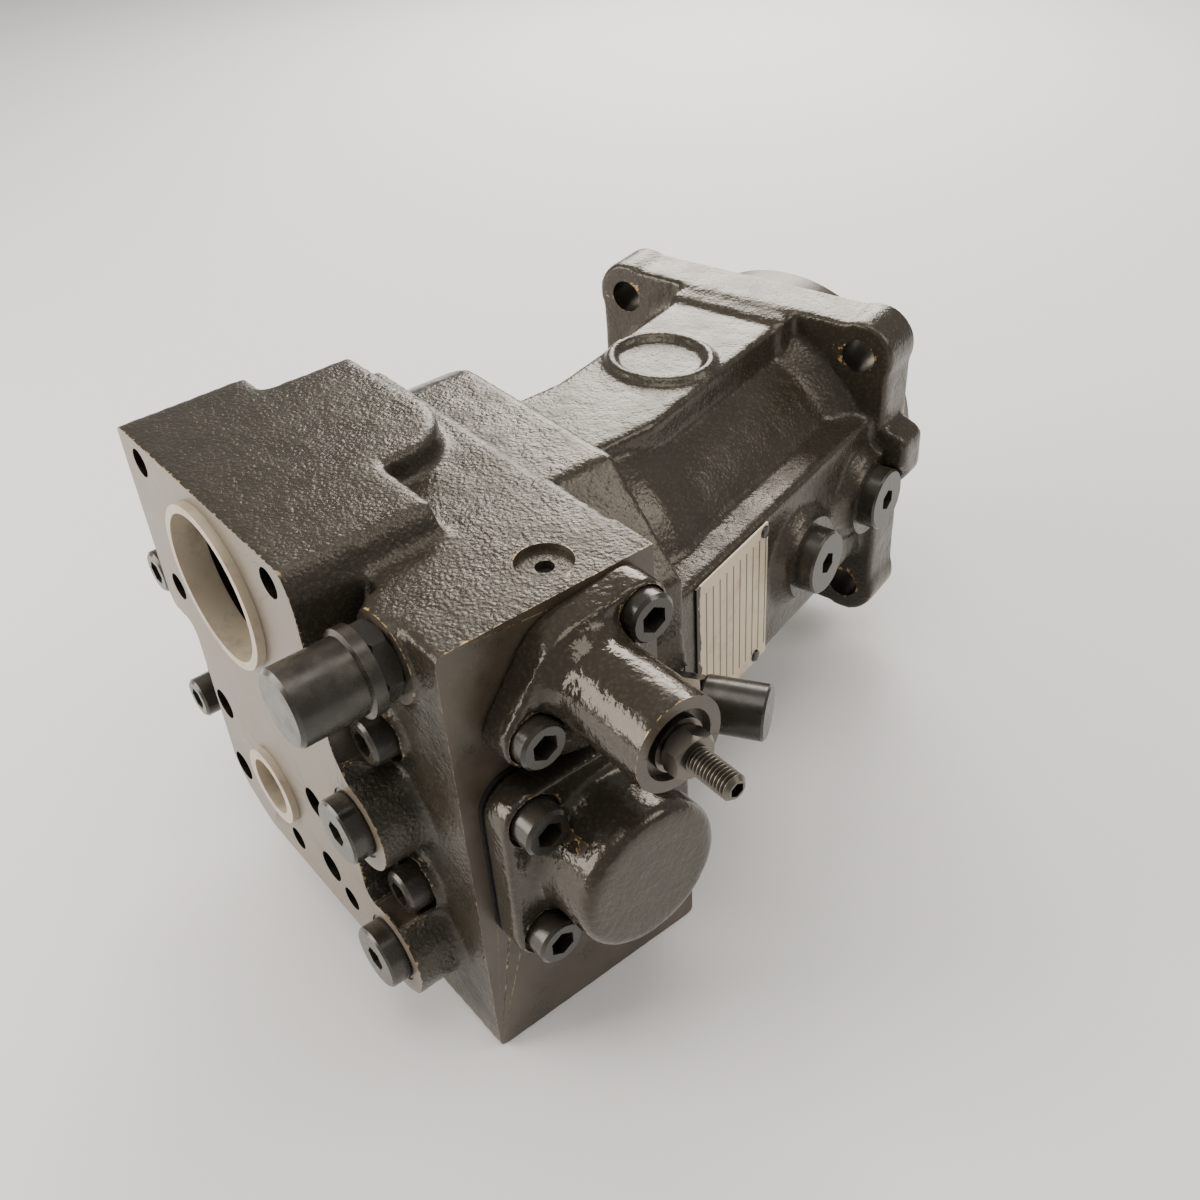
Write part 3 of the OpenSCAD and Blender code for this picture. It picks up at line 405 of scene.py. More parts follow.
@dataclass(frozen=True)
class RuledFoil:
    """Satin aluminium foil plate, ruled with plain dark lines, stained and part covered by the paint."""

    name: str
    low: Vector
    high: Vector
    tint: str = "#C9BCA2"
    line: str = "#3A352E"
    stain: str = "#A98474"
    paint: str = "#2B261F"
    rule_share: float = 0.17
    # Real sizes: from rule to rule, the bare margin above and below, smears, and the border of thick paint
    rule_gap_mm: float = 4.6
    margin_mm: float = 5.0
    smear_mm: float = 9.0
    border_mm: float = 2.2

    def build(self) -> bpy.types.Material:
        """Makes the material.

        Returns:
            The finished material.
        """
        material, tree, shader, place = begin(self.name)
        axes = add(tree, "ShaderNodeSeparateXYZ", Vector=place)
        # Upright rules, about 0.8 mm wide
        step = add(
            tree, "ShaderNodeMath", {"operation": "MULTIPLY"}, i0=axes.outputs["Y"],
            i1=pattern(self.rule_gap_mm),
        )
        part = add(tree, "ShaderNodeMath", {"operation": "FRACT"}, i0=step.outputs[0])
        rule = add(tree, "ShaderNodeMath", {"operation": "LESS_THAN"}, i0=part.outputs[0], i1=self.rule_share)
        # The rules stop short of the plate's top and bottom
        middle = (self.low.z + self.high.z) / 2.0
        inside = add(tree, "ShaderNodeMath", {"operation": "COMPARE"}, i0=axes.outputs["Z"], i1=middle)
        inside.inputs[2].default_value = (self.high.z - self.low.z) / 2.0 - self.margin_mm * MM
        ruled = add(
            tree, "ShaderNodeMath", {"operation": "MULTIPLY"}, i0=rule.outputs[0], i1=inside.outputs[0]
        )
        # Smears of thinned paint
        smear = add(
            tree, "ShaderNodeTexNoise", Vector=place, Scale=pattern(self.smear_mm), Detail=5.0, Roughness=0.65
        )
        patch = add(
            tree, "ShaderNodeMapRange", Value=smear.outputs["Fac"], From_Min=0.52, From_Max=0.75, To_Max=0.7
        )
        base = add(
            tree, "ShaderNodeMix", {"data_type": "RGBA"}, i0=patch.outputs[0], i6=linear(self.tint),
            i7=linear(self.stain),
        )
        weight = add(tree, "ShaderNodeMath", {"operation": "MULTIPLY"}, i0=ruled.outputs[0], i1=0.92)
        colour = add(
            tree, "ShaderNodeMix", {"data_type": "RGBA"}, i0=weight.outputs[0], i6=base.outputs[2],
            i7=linear(self.line),
        )
        # The ragged border of thick paint along the end next to the block
        wave = add(
            tree, "ShaderNodeMath", {"operation": "MULTIPLY_ADD"}, i0=smear.outputs["Fac"],
            i1=-self.smear_mm * MM, i2=axes.outputs["Y"],
        )
        covered = add(
            tree, "ShaderNodeMath", {"operation": "LESS_THAN"}, i0=wave.outputs[0],
            i1=self.low.y - self.border_mm * MM,
        )
        finish = add(
            tree, "ShaderNodeMix", {"data_type": "RGBA"}, i0=covered.outputs[0], i6=colour.outputs[2],
            i7=linear(self.paint),
        )
        relief = add(
            tree, "ShaderNodeMath", {"operation": "MULTIPLY_ADD"}, i0=covered.outputs[0], i1=1.5,
            i2=smear.outputs["Fac"],
        )
        bump = add(tree, "ShaderNodeBump", Strength=0.3, Distance=0.0003, Height=relief.outputs[0])
        tree.links.new(finish.outputs[2], shader.inputs["Base Color"])
        tree.links.new(bump.outputs[0], shader.inputs["Normal"])
        shader.inputs["Roughness"].default_value = 0.42
        shader.inputs["Metallic"].default_value = 0.15
        return material


@dataclass(frozen=True)
class Rod:
    """A round bar in one of the part's frames, in millimetres."""

    at: Matrix
    start: tuple[float, float, float]
    end: tuple[float, float, float]
    radius: float

    def draw(self, mesh: bmesh.types.BMesh) -> None:
        """Adds the bar to a mesh.

        Args:
            mesh: Mesh to add to.
        """
        low, high = Vector(self.start), Vector(self.end)
        way = high - low
        turn = way.to_track_quat("Z", "Y").to_matrix().to_4x4()
        bmesh.ops.create_cone(
            mesh, cap_ends=True, segments=72, radius1=self.radius, radius2=self.radius, depth=way.length,
            matrix=self.at @ Matrix.Translation((low + high) / 2.0) @ turn,
        )


@dataclass(frozen=True)
class Slab:
    """A straight block in one of the part's frames, in millimetres."""

    at: Matrix
    low: tuple[float, float, float]
    high: tuple[float, float, float]

    def draw(self, mesh: bmesh.types.BMesh) -> None:
        """Adds the block to a mesh.

        Args:
            mesh: Mesh to add to.
        """
        low, high = Vector(self.low), Vector(self.high)
        size = high - low
        stretch = Matrix.Diagonal((size.x, size.y, size.z, 1.0))
        middle = Matrix.Translation((low + high) / 2.0)
        bmesh.ops.create_cube(mesh, size=1.0, matrix=self.at @ middle @ stretch)


@dataclass(frozen=True)
class Prism:
    """An outline in X and Z drawn along Y, in millimetres."""

    at: Matrix
    outline: tuple[tuple[float, float], ...]
    start: float
    end: float

    def draw(self, mesh: bmesh.types.BMesh) -> None:
        """Adds the prism to a mesh.

        Args:
            mesh: Mesh to add to.
        """
        rim = [mesh.verts.new(self.at @ Vector((x, self.start, z))) for x, z in self.outline]
        cap = mesh.faces.new(rim)
        drawn = bmesh.ops.extrude_face_region(mesh, geom=[cap], use_keep_orig=True)
        moved = [item for item in drawn["geom"] if isinstance(item, bmesh.types.BMVert)]
        way = self.at.to_3x3() @ Vector((0.0, self.end - self.start, 0.0))
        bmesh.ops.translate(mesh, verts=moved, vec=way)
        around = {face for vert in rim + moved for face in vert.link_faces}
        bmesh.ops.recalc_face_normals(mesh, faces=list(around))


@dataclass(frozen=True)
class OvalRing:
    """A raised oval bead on a face that looks along Z, in millimetres."""

    at: Matrix
    centre: tuple[float, float, float]
    size: tuple[float, float]
    wall: float
    height: float

    def draw(self, mesh: bmesh.types.BMesh) -> None:
        """Adds the bead to a mesh.

        Args:
            mesh: Mesh to add to.
        """
        made = []
        for inset in (0.0, self.wall):
            wide, deep = self.size[0] / 2.0 - inset, self.size[1] / 2.0 - inset
            stretch = Matrix.Diagonal((wide, deep, 1.0, 1.0))
            place = self.at @ Matrix.Translation(self.centre) @ stretch
            made.append(bmesh.ops.create_circle(mesh, segments=64, radius=1.0, matrix=place)["verts"])
        rims = [edge for ring in made for edge in {e for v in ring for e in v.link_edges}]
        base = bmesh.ops.bridge_loops(mesh, edges=rims)["faces"]
        drawn = bmesh.ops.extrude_face_region(mesh, geom=base, use_keep_orig=True)
        top = [item for item in drawn["geom"] if isinstance(item, bmesh.types.BMVert)]
        bmesh.ops.translate(mesh, verts=top, vec=self.at.to_3x3() @ Vector((0.0, 0.0, self.height)))
        around = {face for vert in top + made[0] + made[1] for face in vert.link_faces}
        bmesh.ops.recalc_face_normals(mesh, faces=list(around))


Shape = Rod | Slab | Prism | OvalRing


def rod_y(at: Matrix, x: float, z: float, y0: float, y1: float, radius: float) -> Rod:
    """Returns a bar along Y."""
    return Rod(at, (x, y0, z), (x, y1, z), radius)


def rod_x(at: Matrix, y: float, z: float, x0: float, x1: float, radius: float) -> Rod:
    """Returns a bar along X."""
    return Rod(at, (x0, y, z), (x1, y, z), radius)


def rod_z(at: Matrix, x: float, y: float, z0: float, z1: float, radius: float) -> Rod:
    """Returns a bar along Z."""
    return Rod(at, (x, y, z0), (x, y, z1), radius)


def corners(across: float, up: float) -> list[tuple[float, float]]:
    """Returns the four corners of a rectangle about the origin, from half its width and half its height."""
    return [(side * across, level * up) for side in (-1, 1) for level in (-1, 1)]


def joint_outline() -> tuple[tuple[float, float], ...]:
    """Draws the edge of the joint flange.

    Returns:
        The outline's points in X and Z, in millimetres.
    """
    radius, side, half, corner, chamfer = 88.0, 84.0, 82.3, 132.8, 33.5
    arc_start, steps = 110.7, 24
    straight = [(side, half - chamfer), (side, chamfer - half), (corner - half, -half)]
    arc = []
    for step in range(steps + 1):
        turn = math.radians(-arc_start - step * (360.0 - 2 * arc_start) / steps)
        arc.append((radius * math.cos(turn), max(-half, min(half, radius * math.sin(turn)))))
    return tuple(straight + arc + [(corner - half, half)])


# Screws between block and housing, in X and Z: two beside the control part and two on the far side
NEAR_SCREWS = ((68.0, 37.5), (72.5, -26.5))
FAR_SCREWS = ((-68.0, 31.0), (-68.0, -31.0))
# Edge of the port face in X and Z: suction flange, waist and pressure face
PORT_OUTLINE = (
    (-59.0, 97.2), (-59.0, 28.0), (-56.0, 26.5), (-41.0, 26.5), (-41.0, -43.0), (-36.0, -52.0),
    (-25.0, -59.5), (-18.0, -62.5), (86.0, -62.5), (77.0, -52.0), (66.0, -36.0), (60.0, -30.0),
    (60.0, 20.0), (66.0, 24.0), (60.5, 34.0), (58.5, 75.2), (58.0, 87.3), (55.0, 94.7), (52.5, 97.2),
)


def mesh_object(name: str, mesh: bmesh.types.BMesh) -> bpy.types.Object:
    """Turns a bmesh into an object of the scene.

    Args:
        name: Name of the object.
        mesh: The bmesh, which is freed.

    Returns:
        The new object.
    """
    data = bpy.data.meshes.new(name)
    mesh.to_mesh(data)
    mesh.free()
    piece = bpy.data.objects.new(name, data)
    bpy.context.scene.collection.objects.link(piece)
    return piece


def settle(piece: bpy.types.Object) -> None:
    """Applies all the modifiers of an object.

    Args:
        piece: The object.
    """
    graph = bpy.context.evaluated_depsgraph_get()
    done = bpy.data.meshes.new_from_object(piece.evaluated_get(graph))
    piece.modifiers.clear()
    old = piece.data
    piece.data = done
    bpy.data.meshes.remove(old)


def cut(piece: bpy.types.Object, tool: bpy.types.Object) -> None:
    """Takes one closed mesh away from another.

    Args:
        piece: Object that is cut.
        tool: Object that cuts.
    """
    step = piece.modifiers.new("cut", "BOOLEAN")
    step.operation = "DIFFERENCE"
    step.solver = "MANIFOLD"
    step.object = tool
    settle(piece)


def discard(piece: bpy.types.Object) -> None:
    """Deletes a helper object and its mesh."""
    data = piece.data
    bpy.data.objects.remove(piece)
    bpy.data.meshes.remove(data)


def solid_copy(node: str) -> bmesh.types.BMesh:
    """Copies a CAD solid as a closed bmesh.

    Args:
        node: Name of the CAD node.

    Returns:
        The merged copy.
    """
    mesh = bmesh.new()
    mesh.from_mesh(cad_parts[node].data)
    mesh.transform(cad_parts[node].matrix_world)
    bmesh.ops.remove_doubles(mesh, verts=mesh.verts, dist=MERGE_DISTANCE)
    return mesh


@dataclass(frozen=True)
class Cut:
    """One pass of machining: the air of the CAD solid inside these shapes is taken out of the casting."""

    finish: Finish
    shapes: tuple[Shape, ...]


@dataclass
class Casting:
    """A sand casting with soft edges and a lumpy skin, machined afterwards where the real one is."""

    node: str
    stock: list[Shape]
    cuts: list[Cut]
    finishes: list[bpy.types.Material]
    voxel_mm: float
    soften: int
    lump_mm: float
    wide_mm: float = 9.0
    narrow_mm: float = 5.0
    narrow_share: float = 0.6
    chip_levels: tuple[float, ...] = (1.0, 0.72)

    def lump(self, place: Vector) -> float:
        """Gives the height of the mould's lumps, which are about 9 mm and 5 mm across.

        Args:
            place: Point of the skin, in metres.

        Returns:
            The height, in metres.
        """
        wide = noise.noise(place / (self.wide_mm * MM))
        narrow = noise.noise(place / (self.narrow_mm * MM) + Vector((7, 3, 1)))
        return (wide + self.narrow_share * narrow) * self.lump_mm * MM

    def skin(self) -> bpy.types.Object:
        """Casts the rough body, with its holes closed and its machined faces too full.

        Returns:
            The rough body.
        """
        mesh = solid_copy(self.node)
        for shape in self.stock:
            shape.draw(mesh)
        body = mesh_object(self.node + "_cast", mesh)
        step = body.modifiers.new("sand", "REMESH")
        step.mode = "VOXEL"
        step.voxel_size = self.voxel_mm * MM
        settle(body)
        mesh = bmesh.new()
        mesh.from_mesh(body.data)
        for _ in range(self.soften):
            bmesh.ops.smooth_vert(
                mesh, verts=mesh.verts, factor=0.5, use_axis_x=True, use_axis_y=True, use_axis_z=True
            )
        mesh.normal_update()
        for vert in mesh.verts:
            vert.co += vert.normal * self.lump(vert.co)
        mesh.to_mesh(body.data)
        mesh.free()
        return body

    def machine(self, body: bpy.types.Object) -> list[tuple[Finish, BVHTree]]:
        """Cuts the faces and bores.

        Args:
            body: The rough body, which is changed.

        Returns:
            The finish of each pass with the surface that it cut.
        """
        marks = []
        solid = mesh_object(self.node + "_solid", solid_copy(self.node))
        for number, work in enumerate(self.cuts):
            mesh = bmesh.new()
            for shape in work.shapes:
                shape.draw(mesh)
            tool = mesh_object(f"{self.node}_tool_{number}", mesh)
            cut(tool, solid)
            cut(body, tool)
            found = bmesh.new()
            found.from_mesh(tool.data)
            marks.append((work.finish, BVHTree.FromBMesh(found)))
            found.free()
            discard(tool)
        discard(solid)
        return marks

    def build(self) -> bpy.types.Object:
        """Makes the casting in place of its CAD node.

        Returns:
            The finished object.
        """
        body = self.skin()
        marks = self.machine(body)
        body.data.materials.clear()
        for finish in self.finishes:
            body.data.materials.append(finish)
        mesh = bmesh.new()
        mesh.from_mesh(body.data)
        for face in mesh.faces:
            face.smooth = True
            face.material_index = Finish.CAST
            middle = face.calc_center_median()
            for finish, tree in marks:
                if tree.find_nearest(middle, TOUCH_DISTANCE)[0] is not None:
                    face.material_index = finish
                    break
        # The paint breaks most easily at the rim of a cut, and less one edge further from it
        layer = mesh.verts.layers.float.new("cut_edge")
        rim = [v for v in mesh.verts if len({f.material_index == Finish.CAST for f in v.link_faces}) > 1]
        seen = set(rim)
        for level in self.chip_levels:
            for vert in rim:
                vert[layer] = level
            rim = [e.other_vert(v) for v in rim for e in v.link_edges if e.other_vert(v) not in seen]
            seen.update(rim)
        for edge in mesh.edges:
            kinds = {face.material_index for face in edge.link_faces}
            edge.smooth = len(kinds) == 1 and edge.calc_face_angle(0.0) < SOFT_ANGLE
        mesh.to_mesh(body.data)
        mesh.free()
        LOG.info("%s: %d faces", body.name, len(body.data.polygons))
        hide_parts(self.node)
        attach(body, "pump_case")
        return body


@dataclass
class PumpHousing:
    """The housing with its mounting flange, spigot, drain bosses and joint flange."""

    finishes: list[bpy.types.Material]
    # Half the spacing of the bolt holes and of the corner lobes, and half the flange
    hole_off: float = 56.57
    lobe_off: float = 54.5
    flange_half: float = 69.5
    # The drain plugs: where their seats lie in X, and the plugs' places in Y
    seat_x: float = 71.0
    drains: tuple[float, float] = (-79.9, -28.3)
    voxel_mm: float = 1.35

    def stock(self) -> list[Shape]:
        """Returns what closes the holes and stands over the machined faces."""
        lobe, half = self.lobe_off, self.flange_half
        holes, lobes = corners(self.hole_off, self.hole_off), corners(lobe, lobe)
        stock: list[Shape] = [rod_y(PART, x, z, -20.5, ALLOWANCE, 14.5) for x, z in holes]
        stock += [rod_y(PART, x, z, -4.0, ALLOWANCE, 15.0) for x, z in lobes]
        stock += [
            # Over the mounting face and all round the spigot
            Slab(PART, (-half, -4.0, -lobe), (half, ALLOWANCE, lobe)),
            Slab(PART, (-lobe, -4.0, -half), (lobe, ALLOWANCE, half)),
            rod_y(PART, 0.0, 0.0, -4.0, 28.0, 65.0),
            # In the mouth of the cylinder's room and over the joint face
            Slab(BLOCK, (-59.0, JOINT_FACE, -50.0), (59.0, -45.0, 50.0)),
            Prism(BLOCK, joint_outline(), JOINT_FACE - ALLOWANCE, -58.0),
            # Over the side stop's seat, and the blank ring cast on the pad
            Rod(SIDE_STOP, (0.0, 0.0, -24.0), (0.0, 0.0, -3.4), 14.0),
            OvalRing(PART, (0.0, -77.0, 64.0), (44.0, 39.0), wall=3.6, height=5.0),
        ]
        stock += [rod_x(PART, y, 0.0, 54.0, self.seat_x + ALLOWANCE, 17.0) for y in self.drains]
        return stock

    def cuts(self) -> list[Cut]:
        """Returns the machining, outer faces first."""
        holes = corners(self.hole_off, self.hole_off)
        faces: tuple[Shape, ...] = (
            Slab(PART, (-90.0, 0.0, -90.0), (90.0, 40.0, 90.0)),
            Slab(BLOCK, (-110.0, -95.0, -110.0), (120.0, JOINT_FACE, 110.0)),
        )
        seats: list[Shape] = [rod_x(PART, y, 0.0, self.seat_x, self.seat_x + 16.0, 20.0) for y in self.drains]
        seats.append(Rod(SIDE_STOP, (0.0, 0.0, -6.4), (0.0, 0.0, 30.0), 17.0))
        seats += [rod_y(PART, x, z, -44.0, -20.4, 13.2) for x, z in holes]
        bores: list[Shape] = [rod_y(PART, x, z, -24.0, ALLOWANCE, 7.4) for x, z in holes]
        bores += [rod_x(PART, y, 0.0, 52.0, self.seat_x + 1.0, 9.6) for y in self.drains]
        bores.append(Rod(SIDE_STOP, (0.0, 0.0, -52.0), (0.0, 0.0, -5.0), 5.6))
        rooms: tuple[Shape, ...] = (rod_y(PART, 0.0, 0.0, -104.0, 29.0, 56.0),)
        joint: list[Shape] = [Slab(BLOCK, (-58.0, -70.0, -49.5), (58.0, -37.5, 49.5))]
        joint += [rod_y(BLOCK, x, z, -70.0, -40.0, 5.8) for x, z in NEAR_SCREWS + FAR_SCREWS]
        back: tuple[Shape, ...] = (rod_y(BLOCK, 0.0, 0.0, -60.0, 8.0, 56.0),)
        # The seats of screws and plugs are painted over like the skin, so they take its finish
        return [
            Cut(Finish.MACHINED, faces),
            Cut(Finish.CAST, tuple(seats)),
            Cut(Finish.BORE, tuple(bores)),
            Cut(Finish.BORE, rooms),
            Cut(Finish.BORE, tuple(joint)),
            Cut(Finish.BORE, back),
        ]

    def build(self) -> None:
        """Casts and machines the housing."""
        Casting(
            "housing", self.stock(), self.cuts(), self.finishes, self.voxel_mm, soften=6, lump_mm=0.13
        ).build()


@dataclass
class PortBlock:
    """The block with the suction and pressure ports, the control part and the two cover faces."""

    finishes: list[bpy.types.Material]
    # Heights of the ports, then X and Z of the gauge plugs and the rear stop, and X and Y of the top plug
    suction_z: float = 63.2
    pressure_z: float = -26.2
    gauges: tuple[tuple[float, float], ...] = ((65.6, 6.4), (71.7, -49.6))
    stop: tuple[float, float] = (77.0, 72.5)
    top_plug: tuple[float, float] = (88.8, -93.6)
    voxel_mm: float = 1.5

    def threads(self) -> list[tuple[float, float, float]]:
        """Returns X, Z and radius of the small holes in the port face."""
        out = [(x, self.suction_z + z, 5.1) for x, z in corners(44.45, 25.4)]
        out += [(x, self.pressure_z + z, 6.0) for x, z in corners(33.35, 15.9)]
        return out + [(6.5, -50.0, 4.5), (45.0, -49.0, 4.5)]

    def stock(self) -> list[Shape]:
        """Returns what closes the holes and stands over the machined faces."""
        y, x1 = PORT_FACE, COVER_FACE + ALLOWANCE
        stock: list[Shape] = [
            # Over the port face and the gauge plugs' seats, and in the mouths of both ports
            Prism(BLOCK, PORT_OUTLINE, y - ALLOWANCE, y + 3.0),
            *(rod_y(BLOCK, x, z, y - ALLOWANCE, y + 18.0, 17.3) for x, z in self.gauges),
            rod_y(BLOCK, 0.0, self.suction_z, y, y + 38.0, 30.0),
            rod_y(BLOCK, 0.0, self.pressure_z, y, y + 30.0, 15.5),
            # Over the joint face and in the mouth of the room behind it
            Prism(BLOCK, joint_outline(), -72.0, JOINT_FACE + ALLOWANCE),
            Slab(BLOCK, (-58.0, -82.0, -48.0), (58.0, JOINT_FACE, 48.0)),
            # Over the cover face, over the joint face beside it and over the face of the foot
            Slab(BLOCK, (90.0, -141.4, BLOCK_FOOT), (x1, JOINT_FACE, BLOCK_TOP)),
            Slab(BLOCK, (86.0, -80.0, -65.0), (x1, -62.8, BLOCK_TOP)),
            Slab(BLOCK, (90.0, -66.3, BLOCK_FOOT), (x1, -53.0, -69.0)),
            # Over or in the seats of the joint screws, the top plug and the rear stop
            rod_y(BLOCK, *NEAR_SCREWS[0], -151.0, -130.0, 9.8),
            rod_y(BLOCK, *NEAR_SCREWS[1], -146.0, -130.0, 11.0),
            *(rod_y(BLOCK, x, z, -151.4, -130.0, 11.0) for x, z in FAR_SCREWS),
            rod_z(BLOCK, *self.top_plug, 75.0, BLOCK_TOP, 9.2),
            rod_y(BLOCK, *self.stop, -145.9, -130.0, 14.5),
        ]
        return stock + [rod_y(BLOCK, x, z, y, y + 26.0, r + 0.4) for x, z, r in self.threads()]

    def cuts(self) -> list[Cut]:
        """Returns the machining, outer faces first."""
        y, x1 = PORT_FACE, COVER_FACE
        port: tuple[Shape, ...] = (Slab(BLOCK, (-100.0, y - 15.0, -110.0), (110.0, y, 115.0)),)
        faces: tuple[Shape, ...] = (Slab(BLOCK, (x1, -156.0, -100.0), (x1 + 20.0, -40.0, 100.0)),)
        joint: tuple[Shape, ...] = (Slab(BLOCK, (-110.0, JOINT_FACE, -68.5), (x1 + 20.0, -50.0, 110.0)),)
        seats: tuple[Shape, ...] = (
            *(rod_y(BLOCK, x, z, -157.0, -148.4, 13.0) for x, z in FAR_SCREWS),
            rod_y(BLOCK, *self.stop, -157.0, -142.9, 16.0),
            rod_y(BLOCK, *NEAR_SCREWS[0], -158.0, -141.0, 9.9),
            rod_y(BLOCK, *NEAR_SCREWS[1], -158.0, -142.0, 10.5),
            *(rod_y(BLOCK, x, z, y - 1.0, y + 2.0, 13.0) for x, z in self.gauges),
            rod_z(BLOCK, *self.top_plug, 70.0, 88.6, 9.4),
        )
        bores: list[Shape] = [rod_y(BLOCK, x, z, y - 1.0, y + 25.0, r + 0.5) for x, z, r in self.threads()]
        bores += [
            rod_y(BLOCK, 0.0, self.suction_z, y - 1.0, -112.0, 30.5),
            rod_y(BLOCK, 0.0, self.pressure_z, y - 1.0, -124.0, 15.7),
            *(rod_y(BLOCK, x, z, y + 0.1, -140.0, 8.0) for x, z in self.gauges),
            rod_y(BLOCK, *self.stop, -144.0, -113.0, 5.9),
        ]
        bores += [rod_y(BLOCK, x, z, -150.0, -60.0, 5.9) for x, z in FAR_SCREWS]
        bores += [rod_y(BLOCK, x, z, -143.0, -60.0, 5.9) for x, z in NEAR_SCREWS]
        valves: tuple[Shape, ...] = (
            rod_x(BLOCK, VALVES_Y, 0.0, -44.0, x1 + 1.0, 17.6),
            rod_x(BLOCK, VALVES_Y, UPPER_Z, 40.0, x1 + 1.0, 9.6),
            rod_y(BLOCK, 0.0, -31.0, -131.0, -76.0, 10.2),
        )
        room: tuple[Shape, ...] = (Slab(BLOCK, (-58.0, -100.0, -47.5), (58.0, -64.0, 47.5)),)
        ducts: tuple[Shape, ...] = (Slab(BLOCK, (-28.0, -130.0, 12.0), (36.0, -74.0, 66.0)),)
        return [
            Cut(Finish.PORT, port),
            Cut(Finish.MACHINED, faces),
            Cut(Finish.MACHINED, joint),
            Cut(Finish.MACHINED, seats),
            Cut(Finish.BORE, tuple(bores)),
            Cut(Finish.BORE, valves),
            Cut(Finish.BORE, room),
            Cut(Finish.BORE, ducts),
        ]

    def build(self) -> None:
        """Casts and machines the block."""
        Casting(
            "port_block", self.stock(), self.cuts(), self.finishes, self.voxel_mm, soften=5, lump_mm=0.14
        ).build()


@dataclass
class Covers:
    """The two cast covers of the control part."""

    finishes: list[bpy.types.Material]
    control_screws: tuple[tuple[float, float], ...] = ((-11.55, 20.4), (11.55, -20.4))
    stroking_off: float = 24.75
    gasket: float = 1.5
    voxel_mm: float = 0.95

    def cast(self, node: str, stock: list[Shape], cuts: list[Cut]) -> None:
        """Casts one cover.

        Args:
            node: Name of its CAD node.
            stock: What closes its holes and stands over its machined faces.
            cuts: Its machining.
        """
        Casting(node, stock, cuts, self.finishes, self.voxel_mm, soften=8, lump_mm=0.10).build()

    def control(self) -> None:
        """Casts the upper cover with its long boss."""
        screws = self.control_screws
        stock: list[Shape] = [
            rod_z(UPPER_AXIS, 0.0, 0.0, 0.0, 3.0, 12.0),
            rod_z(UPPER_AXIS, 0.0, 0.0, 42.0, 53.0, 15.0),
        ]
        stock += [rod_z(UPPER_AXIS, x, y, 0.0, 12.0, 9.4) for x, y in screws]
        faces: tuple[Shape, ...] = (
            rod_z(UPPER_AXIS, 0.0, 0.0, 50.0, 60.0, 18.0),
            Slab(UPPER_AXIS, (-40.0, -40.0, -10.0), (45.0, 40.0, 0.0)),
        )
        seats: list[Shape] = [rod_z(UPPER_AXIS, x, y, 7.0, 30.0, 9.4) for x, y in screws]
        seats.append(rod_z(UPPER_AXIS, 0.0, 0.0, 46.9, 51.0, 11.7))
        bores: list[Shape] = [rod_z(UPPER_AXIS, x, y, -1.0, 7.5, 6.0) for x, y in screws]
        bores.append(rod_z(UPPER_AXIS, 0.0, 0.0, -1.0, 48.0, 10.6))
        cuts = [
            Cut(Finish.MACHINED, faces),
            Cut(Finish.MACHINED, tuple(seats)),
            Cut(Finish.BORE, tuple(bores)),
        ]
        self.cast("control_cover", stock, cuts)

    def stroking(self) -> None:
        """Casts the lower cover with its dome."""
        screws, gasket = corners(self.stroking_off, self.stroking_off), self.gasket
        stock: list[Shape] = [rod_z(LOWER_AXIS, 0.0, 0.0, gasket, 8.0, 17.6)]
        stock += [rod_z(LOWER_AXIS, x, y, gasket, 13.5, 9.4) for x, y in screws]
        faces: tuple[Shape, ...] = (Slab(LOWER_AXIS, (-40.0, -40.0, -10.0), (40.0, 40.0, gasket)),)
        seats: list[Shape] = [rod_z(LOWER_AXIS, x, y, 11.0, 28.0, 9.6) for x, y in screws]
        bores: list[Shape] = [rod_z(LOWER_AXIS, x, y, 0.0, 11.5, 6.0) for x, y in screws]
        bores.append(rod_z(LOWER_AXIS, 0.0, 0.0, 0.0, 29.5, 17.4))
        cuts = [
            Cut(Finish.MACHINED, faces),
            Cut(Finish.MACHINED, tuple(seats)),
            Cut(Finish.BORE, tuple(bores)),
        ]
        self.cast("stroking_cover", stock, cuts)

    def build(self) -> None:
        """Makes both covers."""
        self.control()
        self.stroking()


